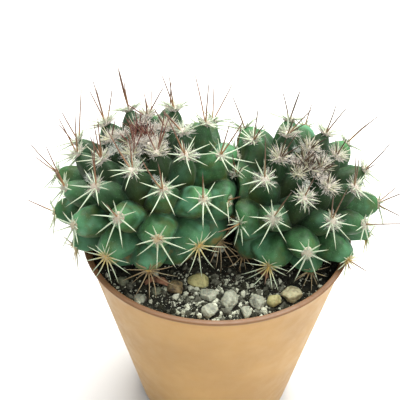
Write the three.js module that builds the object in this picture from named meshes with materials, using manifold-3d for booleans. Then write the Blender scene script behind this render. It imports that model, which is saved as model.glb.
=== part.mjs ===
// A small nipple cactus with two crowded heads, in a round plastic nursery pot.
// Millimetres, +Z up. The origin is the centre of the pot's underside, -Y is the front.

import * as THREE from 'three';
import { mergeVertices } from 'three/addons/utils/BufferGeometryUtils.js';
import { ConvexHull } from 'three/addons/math/ConvexHull.js';
import Module from 'manifold-3d';

const wasm = await Module();
wasm.setup();

// Pot

const potHeight = 50;
const potFootRadius = 18.4;
const potShoulderRadius = 29.2;
const potWall = 0.75;
const potFloor = 1.2;
const potLipRadius = 29.8;
const potLipHeight = 0.6;
const potSegments = 48;
const drainHoleCount = 6;
const drainHoleRadius = 2.2;
const drainRingRadius = 11.5;

// Soil

const clearance = 0.3;
const soilLevel = 47.6;
const soilSegments = 32;
const soilRings = 6;

// Pebbles lying in the soil: place, widths along X and Y, and height, all by eye.
// The front ones are the stones that show, the last ones lie round the sides and back.

const pebbleSink = 0.42;
const pebbles = [
  { x: -19.8, y: -15.2, wide: 3.1, deep: 2.8, tall: 2.1 },
  { x: -3.8, y: -15.2, wide: 5.0, deep: 3.9, tall: 2.6 },
  { x: -8.7, y: -17.5, wide: 3.6, deep: 3.7, tall: 2.7 },
  { x: -1.8, y: -19.9, wide: 3.9, deep: 3.7, tall: 2.7 },
  { x: 2.3, y: -21.3, wide: 3.8, deep: 5.0, tall: 3.3 },
  { x: -1.9, y: -24.2, wide: 4.1, deep: 3.2, tall: 2.7 },
  { x: 5.6, y: -24.3, wide: 2.5, deep: 2.9, tall: 2.2 },
  { x: 8.0, y: -21.5, wide: 3.2, deep: 4.1, tall: 2.6 },
  { x: 11.5, y: -20.9, wide: 3.1, deep: 3.2, tall: 2.8 },
  { x: 15.3, y: -19.4, wide: 4.3, deep: 4.6, tall: 3.4 },
  { x: -12.4, y: -18.3, wide: 2.5, deep: 2.7, tall: 2.0 },
  { x: -15.9, y: -20.3, wide: 3.1, deep: 2.3, tall: 2.0 },
  { x: 3.4, y: 21.6, wide: 3.9, deep: 3.3, tall: 2.5 },
  { x: -2.4, y: 24.3, wide: 2.9, deep: 3.2, tall: 2.3 },
  { x: 8.2, y: 24.2, wide: 2.8, deep: 2.6, tall: 2.1 },
];

// Heads: an oblate body set with tubercles along one spiral, like the scales of a cone.
// lean is the tilt of the growing axis towards +X and +Y, as a slope. crownHollow is how
// far the growing point has shifted and sunk below the round form, in the head's frame.

const heads = [
  {
    name: 'head_left',
    side: 1,
    centre: [-14.5, 2.4, 59.4],
    equator: 21.4,
    pole: 15.8,
    lean: [-0.212, -0.014],
    crownHollow: [2, -0.3, -4],
    startTurn: 282.2,
    turn: 137.545,
    areaPerTubercle: 107.5,
    crowding: 18,
    lowerSpine: 7.2,
    upperSpine: 3.4,
    centralSpine: 11.5,
    centralShares: [1, 0.5],
    neck: { x: -11.5, y: 3, radius: 9.5 },
    seed: 11,
  },
  {
    name: 'head_right',
    side: -1,
    centre: [16.8, 1.6, 57.4],
    equator: 19.2,
    pole: 12.8,
    lean: [0.262, -0.324],
    crownHollow: [-0.3, 0, -1.8],
    startTurn: 275.1,
    turn: -137.388,
    areaPerTubercle: 111.5,
    crowding: 14.1,
    lowerSpine: 6.2,
    upperSpine: 3.0,
    centralSpine: 9.5,
    centralShares: [0.75, 0.35],
    neck: { x: 14, y: 4, radius: 9 },
    seed: 23,
  },
];

const tubercleHeight = 8.6;
const tubercleBluntness = 1.9;
const slimmestTubercle = 1.7;
const youngHeightShare = 0.45;
const grownPolar = 34;
const ringFractions = [0.3, 0.68];
const plainRingFractions = [0.5];
const lastFinePolar = 100;
const lastLivePolar = 128;
const crownWidth = 38;
const heartDrop = 0.3;
const crownHeartDrop = 1.1;
const uprightPolar = 15;
const straightOutPolar = 80;

// Where the two heads lean on each other, and how gently they flatten there. Their
// tubercles lie in each other's hollows, so the face between them is wavy.

const contactX = 3.9;
const contactWave = 1.5;
const contactWaveLength = 11;
const contactSoftness = 1.8;
const contactZone = 6;
const contactFill = 0.55;
const floorSoftness = 2.6;
const bodyOverSoil = 0.8;
const bodyOverRim = 0.55;

const spineRadius = 0.27;
const spineSides = 3;
const spineRoot = 1.5;
const rootedVolume = 0.04;
const radialsPerAreole = 8;
const radialLift = 16;
const lastCentralPolar = 96;
const spineGap = 0.35;

const neckDepth = 13;
const neckTopZ = 53;

// Materials

const colours = {
  pot: { color: 0xd39e7c, roughness: 0.5 },
  soil: { color: 0x3a322c, roughness: 1 },
  head: { color: 0x3f6f52, roughness: 0.6 },
  pebble: { color: 0xb9b3a2, roughness: 0.85 },
};

function standard(name) {
  return new THREE.MeshStandardMaterial({ ...colours[name], metalness: 0 });
}

// Solids

function solidFrom(vertices, triangles) {
  return new wasm.Manifold(new wasm.Mesh({
    numProp: 3,
    vertProperties: Float32Array.from(vertices),
    triVerts: Uint32Array.from(triangles),
  }));
}

function solid(geometry) {
  const bare = geometry.clone();
  bare.deleteAttribute('normal');
  bare.deleteAttribute('uv');
  const merged = mergeVertices(bare, 1e-4);
  const vertices = merged.attributes.position.array;
  const triangles = merged.index.array;
  const made = solidFrom(vertices, triangles);
  if (made.volume() > 0) return made;
  const flipped = Uint32Array.from(triangles);
  for (let i = 0; i < flipped.length; i += 3) {
    [flipped[i], flipped[i + 1]] = [flipped[i + 1], flipped[i]];
  }
  return solidFrom(vertices, flipped);
}

function mesh(name, body, material) {
  const made = body.getMesh();
  const geometry = new THREE.BufferGeometry();
  geometry.setAttribute('position', new THREE.BufferAttribute(new Float32Array(made.vertProperties), 3));
  geometry.setIndex(new THREE.BufferAttribute(new Uint32Array(made.triVerts), 1));
  geometry.computeVertexNormals();
  const result = new THREE.Mesh(geometry, material);
  result.name = name;
  return result;
}

function turned(profile, segments) {
  const points = profile.map(([r, z]) => new THREE.Vector2(r, z));
  return new THREE.LatheGeometry(points, segments).rotateX(Math.PI / 2);
}

// A repeatable stream of numbers between 0 and 1.

function randomStream(seed) {
  let state = seed >>> 0;
  return () => {
    state = (state + 0x6d2b79f5) >>> 0;
    let mixed = Math.imul(state ^ (state >>> 15), 1 | state);
    mixed = (mixed + Math.imul(mixed ^ (mixed >>> 7), 61 | mixed)) ^ mixed;
    return ((mixed ^ (mixed >>> 14)) >>> 0) / 4294967296;
  };
}

// Pot: a tapered cup with a thin wall, an outward lip and a ring of drain holes.

function potOuterRadius(z) {
  return potFootRadius + (potShoulderRadius - potFootRadius) * z / (potHeight - potLipHeight);
}

function potInnerRadius(z) {
  return potOuterRadius(z) - potWall;
}

function makePot() {
  const lipFoot = potHeight - potLipHeight;
  const cup = solid(turned([
    [0, 0],
    [potFootRadius - 0.5, 0],
    [potFootRadius + 0.1, 0.5],
    [potShoulderRadius, lipFoot],
    [potLipRadius, lipFoot + 0.1],
    [potLipRadius, potHeight - 0.2],
    [potLipRadius - 0.2, potHeight],
    [potInnerRadius(potHeight), potHeight],
    [potInnerRadius(potFloor), potFloor],
    [0, potFloor],
  ], potSegments));
  let pot = cup;
  for (let i = 0; i < drainHoleCount; i++) {
    const angle = (i + 0.5) * 2 * Math.PI / drainHoleCount;
    const drill = new THREE.CylinderGeometry(drainHoleRadius, drainHoleRadius, 4 * potFloor, 12);
    drill.rotateX(Math.PI / 2);
    drill.translate(drainRingRadius * Math.cos(angle), drainRingRadius * Math.sin(angle), 0);
    pot = pot.subtract(solid(drill));
  }
  return pot;
}

// Soil: fills the pot to just under the rim, with low hummocks and a dip at the wall.

function soilHeight(x, y) {
  const hummock = 0.3 * Math.sin(0.31 * x + 1.3) * Math.cos(0.27 * y);
  const ripple = 0.22 * Math.sin(0.55 * x - 0.4 * y);
  const edge = Math.hypot(x, y) / potInnerRadius(soilLevel);
  return soilLevel + hummock + ripple - 0.5 * edge ** 6;
}

function makeSoil() {
  const bottom = potFloor + clearance;
  const wallRadius = potInnerRadius(soilLevel) - clearance;
  const profile = [[0, bottom], [potInnerRadius(bottom) - clearance, bottom]];
  for (let i = soilRings; i >= 0; i--) {
    profile.push([wallRadius * i / soilRings, soilLevel]);
  }
  const geometry = turned(profile, soilSegments);
  const position = geometry.attributes.position;
  for (let i = 0; i < position.count; i++) {
    if (position.getZ(i) > soilLevel - 1) {
      position.setZ(i, soilHeight(position.getX(i), position.getY(i)));
    }
  }
  return solid(geometry);
}

// Pebble: a many-sided lump, its corners pushed in and out a little.

function pebbleGeometry(pebble, index, grow) {
  const random = randomStream(500 + index);
  const detail = pebble.wide * pebble.deep > 15 ? 1 : 0;
  const lump = new THREE.IcosahedronGeometry(1, detail);
  lump.deleteAttribute('normal');
  lump.deleteAttribute('uv');
  const merged = mergeVertices(lump, 1e-4);
  const position = merged.attributes.position;
  const corner = new THREE.Vector3();
  for (let i = 0; i < position.count; i++) {
    corner.fromBufferAttribute(position, i).multiplyScalar(0.9 + 0.24 * random());
    corner.multiply(new THREE.Vector3(
      pebble.wide / 2 + grow,
      pebble.deep / 2 + grow,
      pebble.tall / 2 + grow,
    ));
    position.setXYZ(i, corner.x, corner.y, corner.z);
  }
  merged.rotateZ(random() * 0.8 - 0.4);
  merged.translate(pebble.x, pebble.y, pebbleCentreZ(pebble));
  return merged;
}

function pebbleCentreZ(pebble) {
  return soilHeight(pebble.x, pebble.y) + pebble.tall * (0.5 - pebbleSink);
}

// Neck: the thick root that carries a head and stands in a plain hole in the soil.

function neckGeometry(neck, grow) {
  const top = neckTopZ;
  const foot = soilLevel - neckDepth - grow;
  return turned([
    [0, foot],
    [neck.radius * 0.45 + grow, foot],
    [neck.radius * 0.8 + grow, foot + neckDepth * 0.45],
    [neck.radius + grow, soilLevel - 1],
    [neck.radius + grow, top],
    [0, top],
  ], 20).translate(neck.x, neck.y, 0);
}

// Squeezing: a distance that would go below zero is eased back to just above it.

function squeeze(distance, softness) {
  return distance >= softness ? distance : softness * Math.exp(distance / softness - 1);
}

function smoothStep(low, high, value) {
  const t = Math.min(1, Math.max(0, (value - low) / (high - low)));
  return t * t * (3 - 2 * t);
}

// The lowest height that a head may reach: just over the soil, over the rim near it,
// and drooping a little again outside the rim.

function floorHeight(x, y) {
  const radius = Math.hypot(x, y);
  const overRim = smoothStep(potInnerRadius(soilLevel) - 4, potInnerRadius(soilLevel), radius);
  const low = soilLevel + bodyOverSoil;
  const droop = Math.max(0, radius - potLipRadius - 2);
  return low + (potHeight + bodyOverRim - low) * overRim - droop;
}

function contactFace(y, z) {
  const wave = 2 * Math.PI / contactWaveLength;
  return contactX + contactWave * Math.sin(wave * y) * Math.sin(wave * z);
}

// Tubercles that lie crowded between the heads have shallower clefts: the share of
// their depth that is left.

function crowdedShare(point, side) {
  const away = side * (contactFace(point.y, point.z) - point.x);
  return 1 - contactFill * (1 - smoothStep(0, contactZone, away));
}

function pressed(point, side) {
  const face = contactFace(point.y, point.z) - side * clearance / 2;
  const x = face - side * squeeze(side * (face - point.x), contactSoftness);
  const floor = floorHeight(x, point.y);
  return new THREE.Vector3(x, point.y, floor + squeeze(point.z - floor, floorSoftness));
}

// The frame of a head: local +Z is its growing axis.

function headFrame(head) {
  const axis = new THREE.Vector3(head.lean[0], head.lean[1], 1).normalize();
  const across = new THREE.Vector3(1, 0, 0).addScaledVector(axis, -axis.x).normalize();
  const along = new THREE.Vector3().crossVectors(axis, across);
  const frame = new THREE.Matrix4().makeBasis(across, along, axis);
  return frame.setPosition(...head.centre);
}

// The skin area of the head's spheroid from its pole down to each polar angle.

function areaTable(head) {
  const steps = 360;
  const table = [{ polar: 0, area: 0 }];
  let area = 0;
  for (let i = 1; i <= steps; i++) {
    const middle = (i - 0.5) * Math.PI / steps;
    const slant = Math.hypot(head.equator * Math.cos(middle), head.pole * Math.sin(middle));
    area += 2 * Math.PI * head.equator * Math.sin(middle) * slant * Math.PI / steps;
    table.push({ polar: i * Math.PI / steps, area });
  }
  return table;
}

function polarAtArea(table, area) {
  const upper = table.findIndex((row) => row.area > area);
  const a = table[upper - 1];
  const b = table[upper];
  return a.polar + (b.polar - a.polar) * (area - a.area) / (b.area - a.area);
}

// Tubercle tips: each takes the next share of skin along the spiral. Shares grow from
// almost nothing at the woolly crown to a full one further down, so young ones crowd.

function tubercleTips(head) {
  const table = areaTable(head);
  const whole = table[table.length - 1].area;
  const tips = [];
  for (let count = 0.5; ; count++) {
    const crowded = head.crowding * (1 - Math.exp(-count / head.crowding));
    const area = head.areaPerTubercle * (count - crowded);
    if (area > 0.995 * whole) return tips;
    const polar = polarAtArea(table, area);
    const turn = THREE.MathUtils.degToRad(head.startTurn + head.turn * (count - 0.5));
    tips.push({
      polar: THREE.MathUtils.radToDeg(polar),
      point: new THREE.Vector3(
        head.equator * Math.sin(polar) * Math.cos(turn),
        head.equator * Math.sin(polar) * Math.sin(turn),
        head.pole * Math.cos(polar),
      ),
    });
  }
}

function polarDegrees(point, head) {
  const flat = Math.hypot(point.x, point.y) / head.equator;
  return THREE.MathUtils.radToDeg(Math.atan2(flat, point.z / head.pole));
}

// The growing point lies in a shallow hollow, where the young tubercles are moved.

function sunken(point, head) {
  const share = 1 - smoothStep(0, crownWidth, polarDegrees(point, head));
  return point.clone().addScaledVector(new THREE.Vector3(...head.crownHollow), share);
}

// The place on the axis that a tubercle grows from: far down for the upper ones, which
// stand up like fingers, and near the centre for those that point straight out.

function heartOf(point, head) {
  const upper = 1 - smoothStep(uprightPolar, straightOutPolar, polarDegrees(point, head));
  return new THREE.Vector3(0, 0, -(heartDrop + crownHeartDrop * upper) * head.pole);
}

function onSpheroid(point, head) {
  const scale = Math.hypot(point.x / head.equator, point.y / head.equator, point.z / head.pole);
  return point.clone().divideScalar(scale);
}

// Neighbours of each tip, in order round it, read from the faces of the tips' hull.

function neighbourRings(tips) {
  const places = new Map(tips.map((tip, i) => [tip.point, i]));
  const following = tips.map(() => new Map());
  const hull = new ConvexHull().setFromPoints(tips.map((tip) => tip.point));
  for (const face of hull.faces) {
    const corners = [];
    let edge = face.edge;
    do {
      corners.push(places.get(edge.head().point));
      edge = edge.next;
    } while (edge !== face.edge);
    for (let k = 0; k < 3; k++) {
      following[corners[k]].set(corners[(k + 1) % 3], corners[(k + 2) % 3]);
    }
  }
  return following.map((next) => {
    const ring = [next.keys().next().value];
    while (ring.length < next.size) ring.push(next.get(ring[ring.length - 1]));
    return ring;
  });
}

// Body: every tubercle is a blunt cone that fills the cell halfway to its neighbours.
// A point of the spheroid at distance d from a tip sinks towards the tubercle's heart,
// by the tubercle's height times (d / reach) to the power of the bluntness.

function makeBody(head) {
  const tips = tubercleTips(head);
  const rings = neighbourRings(tips);
  const frame = headFrame(head);
  const vertices = [];
  const triangles = [];
  const shared = new Map();

  const meanOf = (members) => {
    const sum = members.reduce((total, i) => total.add(tips[i].point), new THREE.Vector3());
    return onSpheroid(sum.divideScalar(members.length), head);
  };

  tips.forEach((tip, i) => {
    const ring = rings[i];
    const corners = ring.map((j, k) => meanOf([i, j, ring[(k + 1) % ring.length]]));
    tip.reach = 1.04 * corners.reduce((sum, c) => sum + c.distanceTo(tip.point), 0) / corners.length;
    const grown = youngHeightShare + (1 - youngHeightShare) * smoothStep(0, grownPolar, tip.polar);
    const buried = 1 - 0.55 * smoothStep(lastLivePolar - 14, lastLivePolar + 8, tip.polar);
    tip.height = Math.min(tubercleHeight * grown * buried, slimmestTubercle * tip.reach);
    tip.live = tip.polar < lastLivePolar;
  });

  const lowered = (point, members) => {
    let depth = 0;
    for (const i of members) {
      const share = Math.min(1, point.distanceTo(tips[i].point) / tips[i].reach);
      depth += tips[i].height * share ** tubercleBluntness / members.length;
    }
    const placed = sunken(point, head).applyMatrix4(frame);
    const inward = heartOf(point, head).applyMatrix4(frame).sub(placed).normalize();
    return placed.addScaledVector(inward, depth * crowdedShare(placed, head.side));
  };

  const addVertex = (point, members) => {
    const placed = pressed(lowered(point, members), head.side);
    vertices.push(placed.x, placed.y, placed.z);
    return vertices.length / 3 - 1;
  };

  const sharedVertex = (members) => {
    const key = [...members].sort((a, b) => a - b).join(' ');
    if (!shared.has(key)) {
      const point = meanOf(members);
      shared.set(key, { index: addVertex(point, members), point });
    }
    return shared.get(key);
  };

  const fractionsOf = (tip) => {
    if (!tip.live) return [];
    return tip.polar < lastFinePolar ? ringFractions : plainRingFractions;
  };

  tips.forEach((tip, i) => {
    const ring = rings[i];
    const outline = [];
    ring.forEach((j, k) => {
      outline.push(sharedVertex([i, j]));
      outline.push(sharedVertex([i, j, ring[(k + 1) % ring.length]]));
    });
    const loops = fractionsOf(tip).map((fraction) => outline.map((edge) => (
      addVertex(onSpheroid(tip.point.clone().lerp(edge.point, fraction), head), [i])
    )));
    loops.push(outline.map((edge) => edge.index));
    const peak = addVertex(tip.point, [i]);
    tip.place = new THREE.Vector3().fromArray(vertices, 3 * peak);
    tip.outward = tip.place.clone().sub(heartOf(tip.point, head).applyMatrix4(frame)).normalize();
    const count = outline.length;
    for (let k = 0; k < count; k++) {
      const next = (k + 1) % count;
      triangles.push(peak, loops[0][k], loops[0][next]);
      for (let level = 1; level < loops.length; level++) {
        const inner = loops[level - 1];
        const outer = loops[level];
        triangles.push(inner[k], outer[k], outer[next]);
        triangles.push(inner[k], outer[next], inner[next]);
      }
    }
  });

  const crown = sunken(new THREE.Vector3(0, 0, head.pole), head).applyMatrix4(frame);
  const body = solidFrom(vertices, triangles).add(solid(neckGeometry(head.neck, 0)));
  return { body, tips, crown };
}

// Whether a point of a spine keeps clear of soil, rim, pebbles and the other head.

function isFree(point, head) {
  const radius = Math.hypot(point.x, point.y);
  if (radius < potLipRadius + 0.8) {
    const inside = radius < potInnerRadius(soilLevel) - 0.8;
    const lowest = inside ? soilHeight(point.x, point.y) + spineGap + 0.2 : potHeight + spineGap;
    if (point.z < lowest) return false;
  }
  for (const pebble of pebbles) {
    const dx = (point.x - pebble.x) / (pebble.wide / 2 + 0.75);
    const dy = (point.y - pebble.y) / (pebble.deep / 2 + 0.75);
    const dz = (point.z - pebbleCentreZ(pebble)) / (pebble.tall / 2 + 0.75);
    if (Math.hypot(dx, dy, dz) < 1) return false;
  }
  const away = head.side * (contactFace(point.y, point.z) - point.x);
  if (away > spineGap) return true;
  const other = heads.find((candidate) => candidate !== head);
  const local = point.clone().applyMatrix4(headFrame(other).invert());
  const reach = other.lowerSpine + 2;
  return Math.hypot(
    local.x / (other.equator + reach),
    local.y / (other.equator + reach),
    local.z / (other.pole + reach),
  ) > 1;
}

// Spine: a slim three-sided cone from inside the tubercle's tip. One that would meet
// something is turned outwards step by step, and then shortened.

function makeSpine(base, direction, length, outward, head) {
  const escape = outward.clone().add(new THREE.Vector3(0, 0, 0.8)).normalize();
  for (const shrink of [1, 0.7]) {
    for (let step = 0; step <= 8; step++) {
      const way = direction.clone().lerp(escape, 0.1 * step).normalize();
      const reach = length * shrink;
      const clear = [0.3, 0.45, 0.6, 0.75, 0.9, 1.02].every((t) => (
        isFree(base.clone().addScaledVector(way, t * reach), head)
      ));
      if (clear) {
        const cone = new THREE.ConeGeometry(spineRadius, reach + spineRoot, spineSides, 1);
        cone.translate(0, (reach + spineRoot) / 2, 0);
        cone.applyQuaternion(new THREE.Quaternion().setFromUnitVectors(new THREE.Vector3(0, 1, 0), way));
        cone.translate(base.x, base.y, base.z);
        return solid(cone);
      }
    }
  }
  return null;
}

// Areole: a star of radial spines, long below and short above, with one or two central
// spines on most upper tubercles. Young areoles at the crown hold fewer, upright ones.

function areoleSpines(tip, made, head, random) {
  const outward = tip.outward;
  const towardCrown = made.crown.clone().sub(tip.place);
  const up = towardCrown.addScaledVector(outward, -towardCrown.dot(outward)).normalize();
  const across = new THREE.Vector3().crossVectors(outward, up);
  const young = tip.polar < 24;
  const count = young ? 4 : radialsPerAreole;
  const lift = THREE.MathUtils.degToRad(young ? 48 : radialLift);
  const size = young ? 0.72 : 0.92 + 0.16 * random();
  const base = tip.place.clone().addScaledVector(outward, -spineRoot * 0.85);
  const twist = (random() - 0.5) * 0.5;
  const spines = [];
  for (let k = 0; k < count; k++) {
    const around = (k + 0.5) * 2 * Math.PI / count + twist + (random() - 0.5) * 0.25;
    const flat = up.clone().multiplyScalar(Math.cos(around));
    flat.addScaledVector(across, Math.sin(around));
    const tilt = lift + (random() - 0.5) * 0.2;
    const direction = flat.clone().multiplyScalar(Math.cos(tilt));
    direction.addScaledVector(outward, Math.sin(tilt));
    const low = 0.5 - 0.5 * Math.cos(around);
    const length = size * (head.upperSpine + (head.lowerSpine - head.upperSpine) * low);
    const root = base.clone().addScaledVector(flat, 0.5);
    spines.push(makeSpine(root, direction, length, outward, head));
  }
  head.centralShares.forEach((share, k) => {
    if (tip.polar > lastCentralPolar || random() > share) return;
    const direction = outward.clone().addScaledVector(up, 0.2 + 0.5 * random());
    direction.addScaledVector(across, (random() - 0.5) * (0.3 + k)).normalize();
    const length = head.centralSpine * (young ? 0.62 : 0.75 + 0.3 * random());
    spines.push(makeSpine(base, direction, length, outward, head));
  });
  return spines.filter((spine) => spine !== null);
}

function makeHead(head) {
  const random = randomStream(head.seed);
  const made = makeBody(head);
  let whole = made.body;
  for (const tip of made.tips) {
    if (!tip.live) continue;
    for (const spine of areoleSpines(tip, made, head, random)) {
      const rooted = spine.intersect(made.body).volume() > rootedVolume;
      if (rooted) whole = whole.add(spine);
    }
  }
  return whole;
}

// Assembly

const plant = new THREE.Group();
plant.add(mesh('pot', makePot(), standard('pot')));

let soil = makeSoil();
for (const head of heads) {
  soil = soil.subtract(solid(neckGeometry(head.neck, clearance)));
}
pebbles.forEach((pebble, i) => {
  soil = soil.subtract(solid(pebbleGeometry(pebble, i, clearance)));
});
plant.add(mesh('soil', soil, standard('soil')));

for (const head of heads) {
  plant.add(mesh(head.name, makeHead(head), standard('head')));
}

pebbles.forEach((pebble, i) => {
  const name = `pebble_${String(i + 1).padStart(2, '0')}`;
  plant.add(mesh(name, solid(pebbleGeometry(pebble, i, 0)), standard('pebble')));
});

export default plant;
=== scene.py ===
"""A potted nipple cactus with two heads, dressed over its packed construction model.

All shapes are worked out in millimetres, in the frame of the construction model: +Z is up, the
origin is the centre of the pot's underside and -Y is the front. They become metres where a mesh
is made. Every new surface is a formula over a whole numpy array. Polar angles are degrees from a
head's axis, and colours are display colours, written as six hex digits.
"""

import logging
import math
from dataclasses import dataclass, field, replace
from enum import Enum
from typing import Self

import bpy
import numpy as np
from mathutils.bvhtree import BVHTree
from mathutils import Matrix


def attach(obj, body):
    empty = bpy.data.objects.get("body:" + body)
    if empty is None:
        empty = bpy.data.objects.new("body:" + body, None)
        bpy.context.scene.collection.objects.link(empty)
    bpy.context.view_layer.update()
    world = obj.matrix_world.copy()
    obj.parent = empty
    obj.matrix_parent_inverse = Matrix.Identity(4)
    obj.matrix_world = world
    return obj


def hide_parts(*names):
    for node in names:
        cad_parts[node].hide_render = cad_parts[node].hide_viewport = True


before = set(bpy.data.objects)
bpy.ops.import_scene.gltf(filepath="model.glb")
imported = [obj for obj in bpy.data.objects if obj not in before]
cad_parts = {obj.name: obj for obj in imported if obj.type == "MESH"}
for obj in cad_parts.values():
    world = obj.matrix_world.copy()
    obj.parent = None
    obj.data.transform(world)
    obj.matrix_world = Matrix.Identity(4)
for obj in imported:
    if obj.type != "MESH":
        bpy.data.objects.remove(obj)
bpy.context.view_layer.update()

LOG = logging.getLogger("cactus")
Array = np.ndarray
Socket = bpy.types.NodeSocket
Triple = tuple[float, float, float]

MM = 0.001
BODY = "root"
UP = np.array([0.0, 0.0, 1.0])


def unit(vectors: Array) -> Array:
    """Vectors divided by their own length."""
    return vectors / np.maximum(np.linalg.norm(vectors, axis=-1, keepdims=True), 1e-12)


def dot(a: Array, b: Array) -> Array:
    """Dot products along the last axis."""
    return (a * b).sum(axis=-1)


def rising(low: float, high: float, value: Array) -> Array:
    """An S-shaped ramp that is 0 up to low and 1 from high."""
    t = np.clip((value - low) / (high - low), 0.0, 1.0)
    return t * t * (3.0 - 2.0 * t)


def falling(low: float, high: float, value: Array) -> Array:
    """An S-shaped ramp that is 1 up to low and 0 from high."""
    return 1.0 - rising(low, high, value)


def squeeze(distance: Array, softness: float) -> Array:
    """A distance that would go below zero is eased back to just above it.

    Args:
        distance: distance from a wall, negative behind it.
        softness: distance at which the wall begins to be felt.

    Returns:
        The distance itself beyond softness, and softness * exp(distance / softness - 1) nearer.
    """
    near = softness * np.exp(np.minimum(distance, softness) / softness - 1.0)
    return np.where(distance >= softness, distance, near)


def waves(points: Array, wavelength: float, seed: int, count: int = 7) -> Array:
    """Smooth noise: the scaled sum of sine waves that run in random directions.

    Args:
        points: places in millimetres, shape (..., 3).
        wavelength: mean length of the waves.
        seed: seed of the directions and phases.
        count: number of waves.

    Returns:
        One value for each point, mostly between -1 and 1.
    """
    rng = np.random.default_rng(seed)
    ways = unit(rng.normal(size=(count, 3)))
    steps = ways * rng.uniform(0.65, 1.5, (count, 1)) * math.tau / wavelength
    phases = rng.uniform(0.0, math.tau, count)
    return np.sin(points @ steps.T + phases).sum(-1) / math.sqrt(count)


def linear(code: str) -> tuple[float, float, float, float]:
    """A display colour as linear light.

    Each channel is c / 12.92 for dark ones and ((c + 0.055) / 1.055) ** 2.4 for the others.

    Args:
        code: the display colour.

    Returns:
        Red, green and blue from 0 to 1, and alpha 1.
    """
    parts = [int(code[i:i + 2], 16) / 255.0 for i in (0, 2, 4)]
    light = [p / 12.92 if p <= 0.04045 else ((p + 0.055) / 1.055) ** 2.4 for p in parts]
    return light[0], light[1], light[2], 1.0


def linked(name: str, data: bpy.types.ID) -> bpy.types.Object:
    """A new object in the scene.

    Args:
        name: name of the object.
        data: its mesh, lamp or camera.

    Returns:
        The object, at the origin.
    """
    made = bpy.data.objects.new(name, data)
    bpy.context.scene.collection.objects.link(made)
    return made


@dataclass
class Surface:
    """Points in millimetres, faces as arrays of corner numbers, and one value a point by name."""

    points: Array
    faces: list[Array]
    values: dict[str, Array] = field(default_factory=dict)

    @staticmethod
    def joined(surfaces: list["Surface"]) -> "Surface":
        """Several surfaces as one, with their corner numbers moved up in turn.

        Args:
            surfaces: surfaces that hold values of the same names.

        Returns:
            The one surface.
        """
        starts = np.cumsum([0] + [len(s.points) for s in surfaces[:-1]])
        faces = [block + start for s, start in zip(surfaces, starts) for block in s.faces]
        values = {n: np.concatenate([s.values[n] for s in surfaces]) for n in surfaces[0].values}
        return Surface(np.concatenate([s.points for s in surfaces]), faces, values)

    def mesh(self, name: str) -> bpy.types.Mesh:
        """The surface as a mesh in metres, with its values as point attributes.

        Args:
            name: name of the mesh.

        Returns:
            The mesh.
        """
        mesh = bpy.data.meshes.new(name)
        mesh.vertices.add(len(self.points))
        mesh.vertices.foreach_set("co", (self.points * MM).astype(np.float32).ravel())
        sizes = np.concatenate([np.full(len(f), f.shape[1]) for f in self.faces])
        corners = np.concatenate([f.ravel() for f in self.faces])
        mesh.loops.add(len(corners))
        mesh.loops.foreach_set("vertex_index", corners.astype(np.int32))
        mesh.polygons.add(len(sizes))
        mesh.polygons.foreach_set("loop_start", (np.cumsum(sizes) - sizes).astype(np.int32))
        mesh.update(calc_edges=True)
        mesh.validate()
        for key, value in self.values.items():
            layer = mesh.attributes.new(key, "FLOAT", "POINT")
            layer.data.foreach_set("value", value.astype(np.float32))
        return mesh

    def piece(self, name: str, material: bpy.types.Material, slot: str,
              smooth: bool = True) -> bpy.types.Object:
        """Makes the surface an object that rides on the part's body.

        Args:
            name: name of the object.
            material: its finish.
            slot: the record's material slot that the finish belongs to; not used.
            smooth: whether its faces are shaded as one smooth skin.

        Returns:
            The object, at the origin, with its place in its mesh.
        """
        mesh = self.mesh(name)
        mesh.polygons.foreach_set("use_smooth", np.full(len(mesh.polygons), smooth))
        mesh.materials.append(material)
        made = linked(name, mesh)
        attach(made, BODY)
        LOG.info("%s: %d triangles", name, sum(len(f) * (f.shape[1] - 2) for f in self.faces))
        return made


def copies(faces: Array, count: int, points: int) -> Array:
    """The faces of many like shapes, each shape's points stored after those of the one before.

    Args:
        faces: corner numbers of the first shape.
        count: number of shapes.
        points: number of points in a shape.

    Returns:
        Corner numbers of all of them.
    """
    return (faces[None] + (np.arange(count) * points)[:, None, None]).reshape(-1, faces.shape[1])


def tubes(rings: Array, ends: Array) -> Surface:
    """Skins tubes with quads between neighbouring rings and a fan to the point at either end.

    Args:
        rings: points of each tube's rings, shape (tubes, rings, sides, 3). Seen from the last
            ring, the points of a ring run anticlockwise.
        ends: the points that close each tube's first and last ring, shape (tubes, 2, 3).

    Returns:
        The closed tubes. Each stores its rings in turn and then its two end points.
    """
    count, rows, sides, _ = rings.shape
    points = np.concatenate([rings.reshape(count, -1, 3), ends], axis=1)
    side = np.arange(sides)
    following = (side + 1) % sides
    row = np.arange(rows - 1)[:, None] * sides
    quads = np.stack((row + side, row + following, row + sides + following, row + sides + side), axis=-1)
    last, first_end = (rows - 1) * sides, rows * sides
    fans = np.concatenate([
        np.stack((np.full(sides, first_end), following, side), axis=1),
        np.stack((last + side, last + following, np.full(sides, first_end + 1)), axis=1),
    ])
    faces = [copies(block, count, points.shape[1]) for block in (quads.reshape(-1, 4), fans)]
    return Surface(points.reshape(-1, 3), faces)


def lathe(radii: Array, heights: Array, sides: int) -> Array:
    """Rings round the vertical axis, with points at (radius * cos, radius * sin, height).

    Args:
        radii: radius of each ring.
        heights: height of each ring.
        sides: points in a ring.

    Returns:
        The points, shape (rings, sides, 3).
    """
    turn = np.arange(sides) * math.tau / sides
    x, y = np.outer(radii, np.cos(turn)), np.outer(radii, np.sin(turn))
    return np.stack((x, y, np.outer(heights, np.ones(sides))), axis=-1)


def turned_body(rings: Array, low: float, high: float) -> Surface:
    """Skins the rings of a lathe, closed on the axis at the two heights."""
    return tubes(rings[None], np.outer((low, high), UP)[None])


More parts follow.
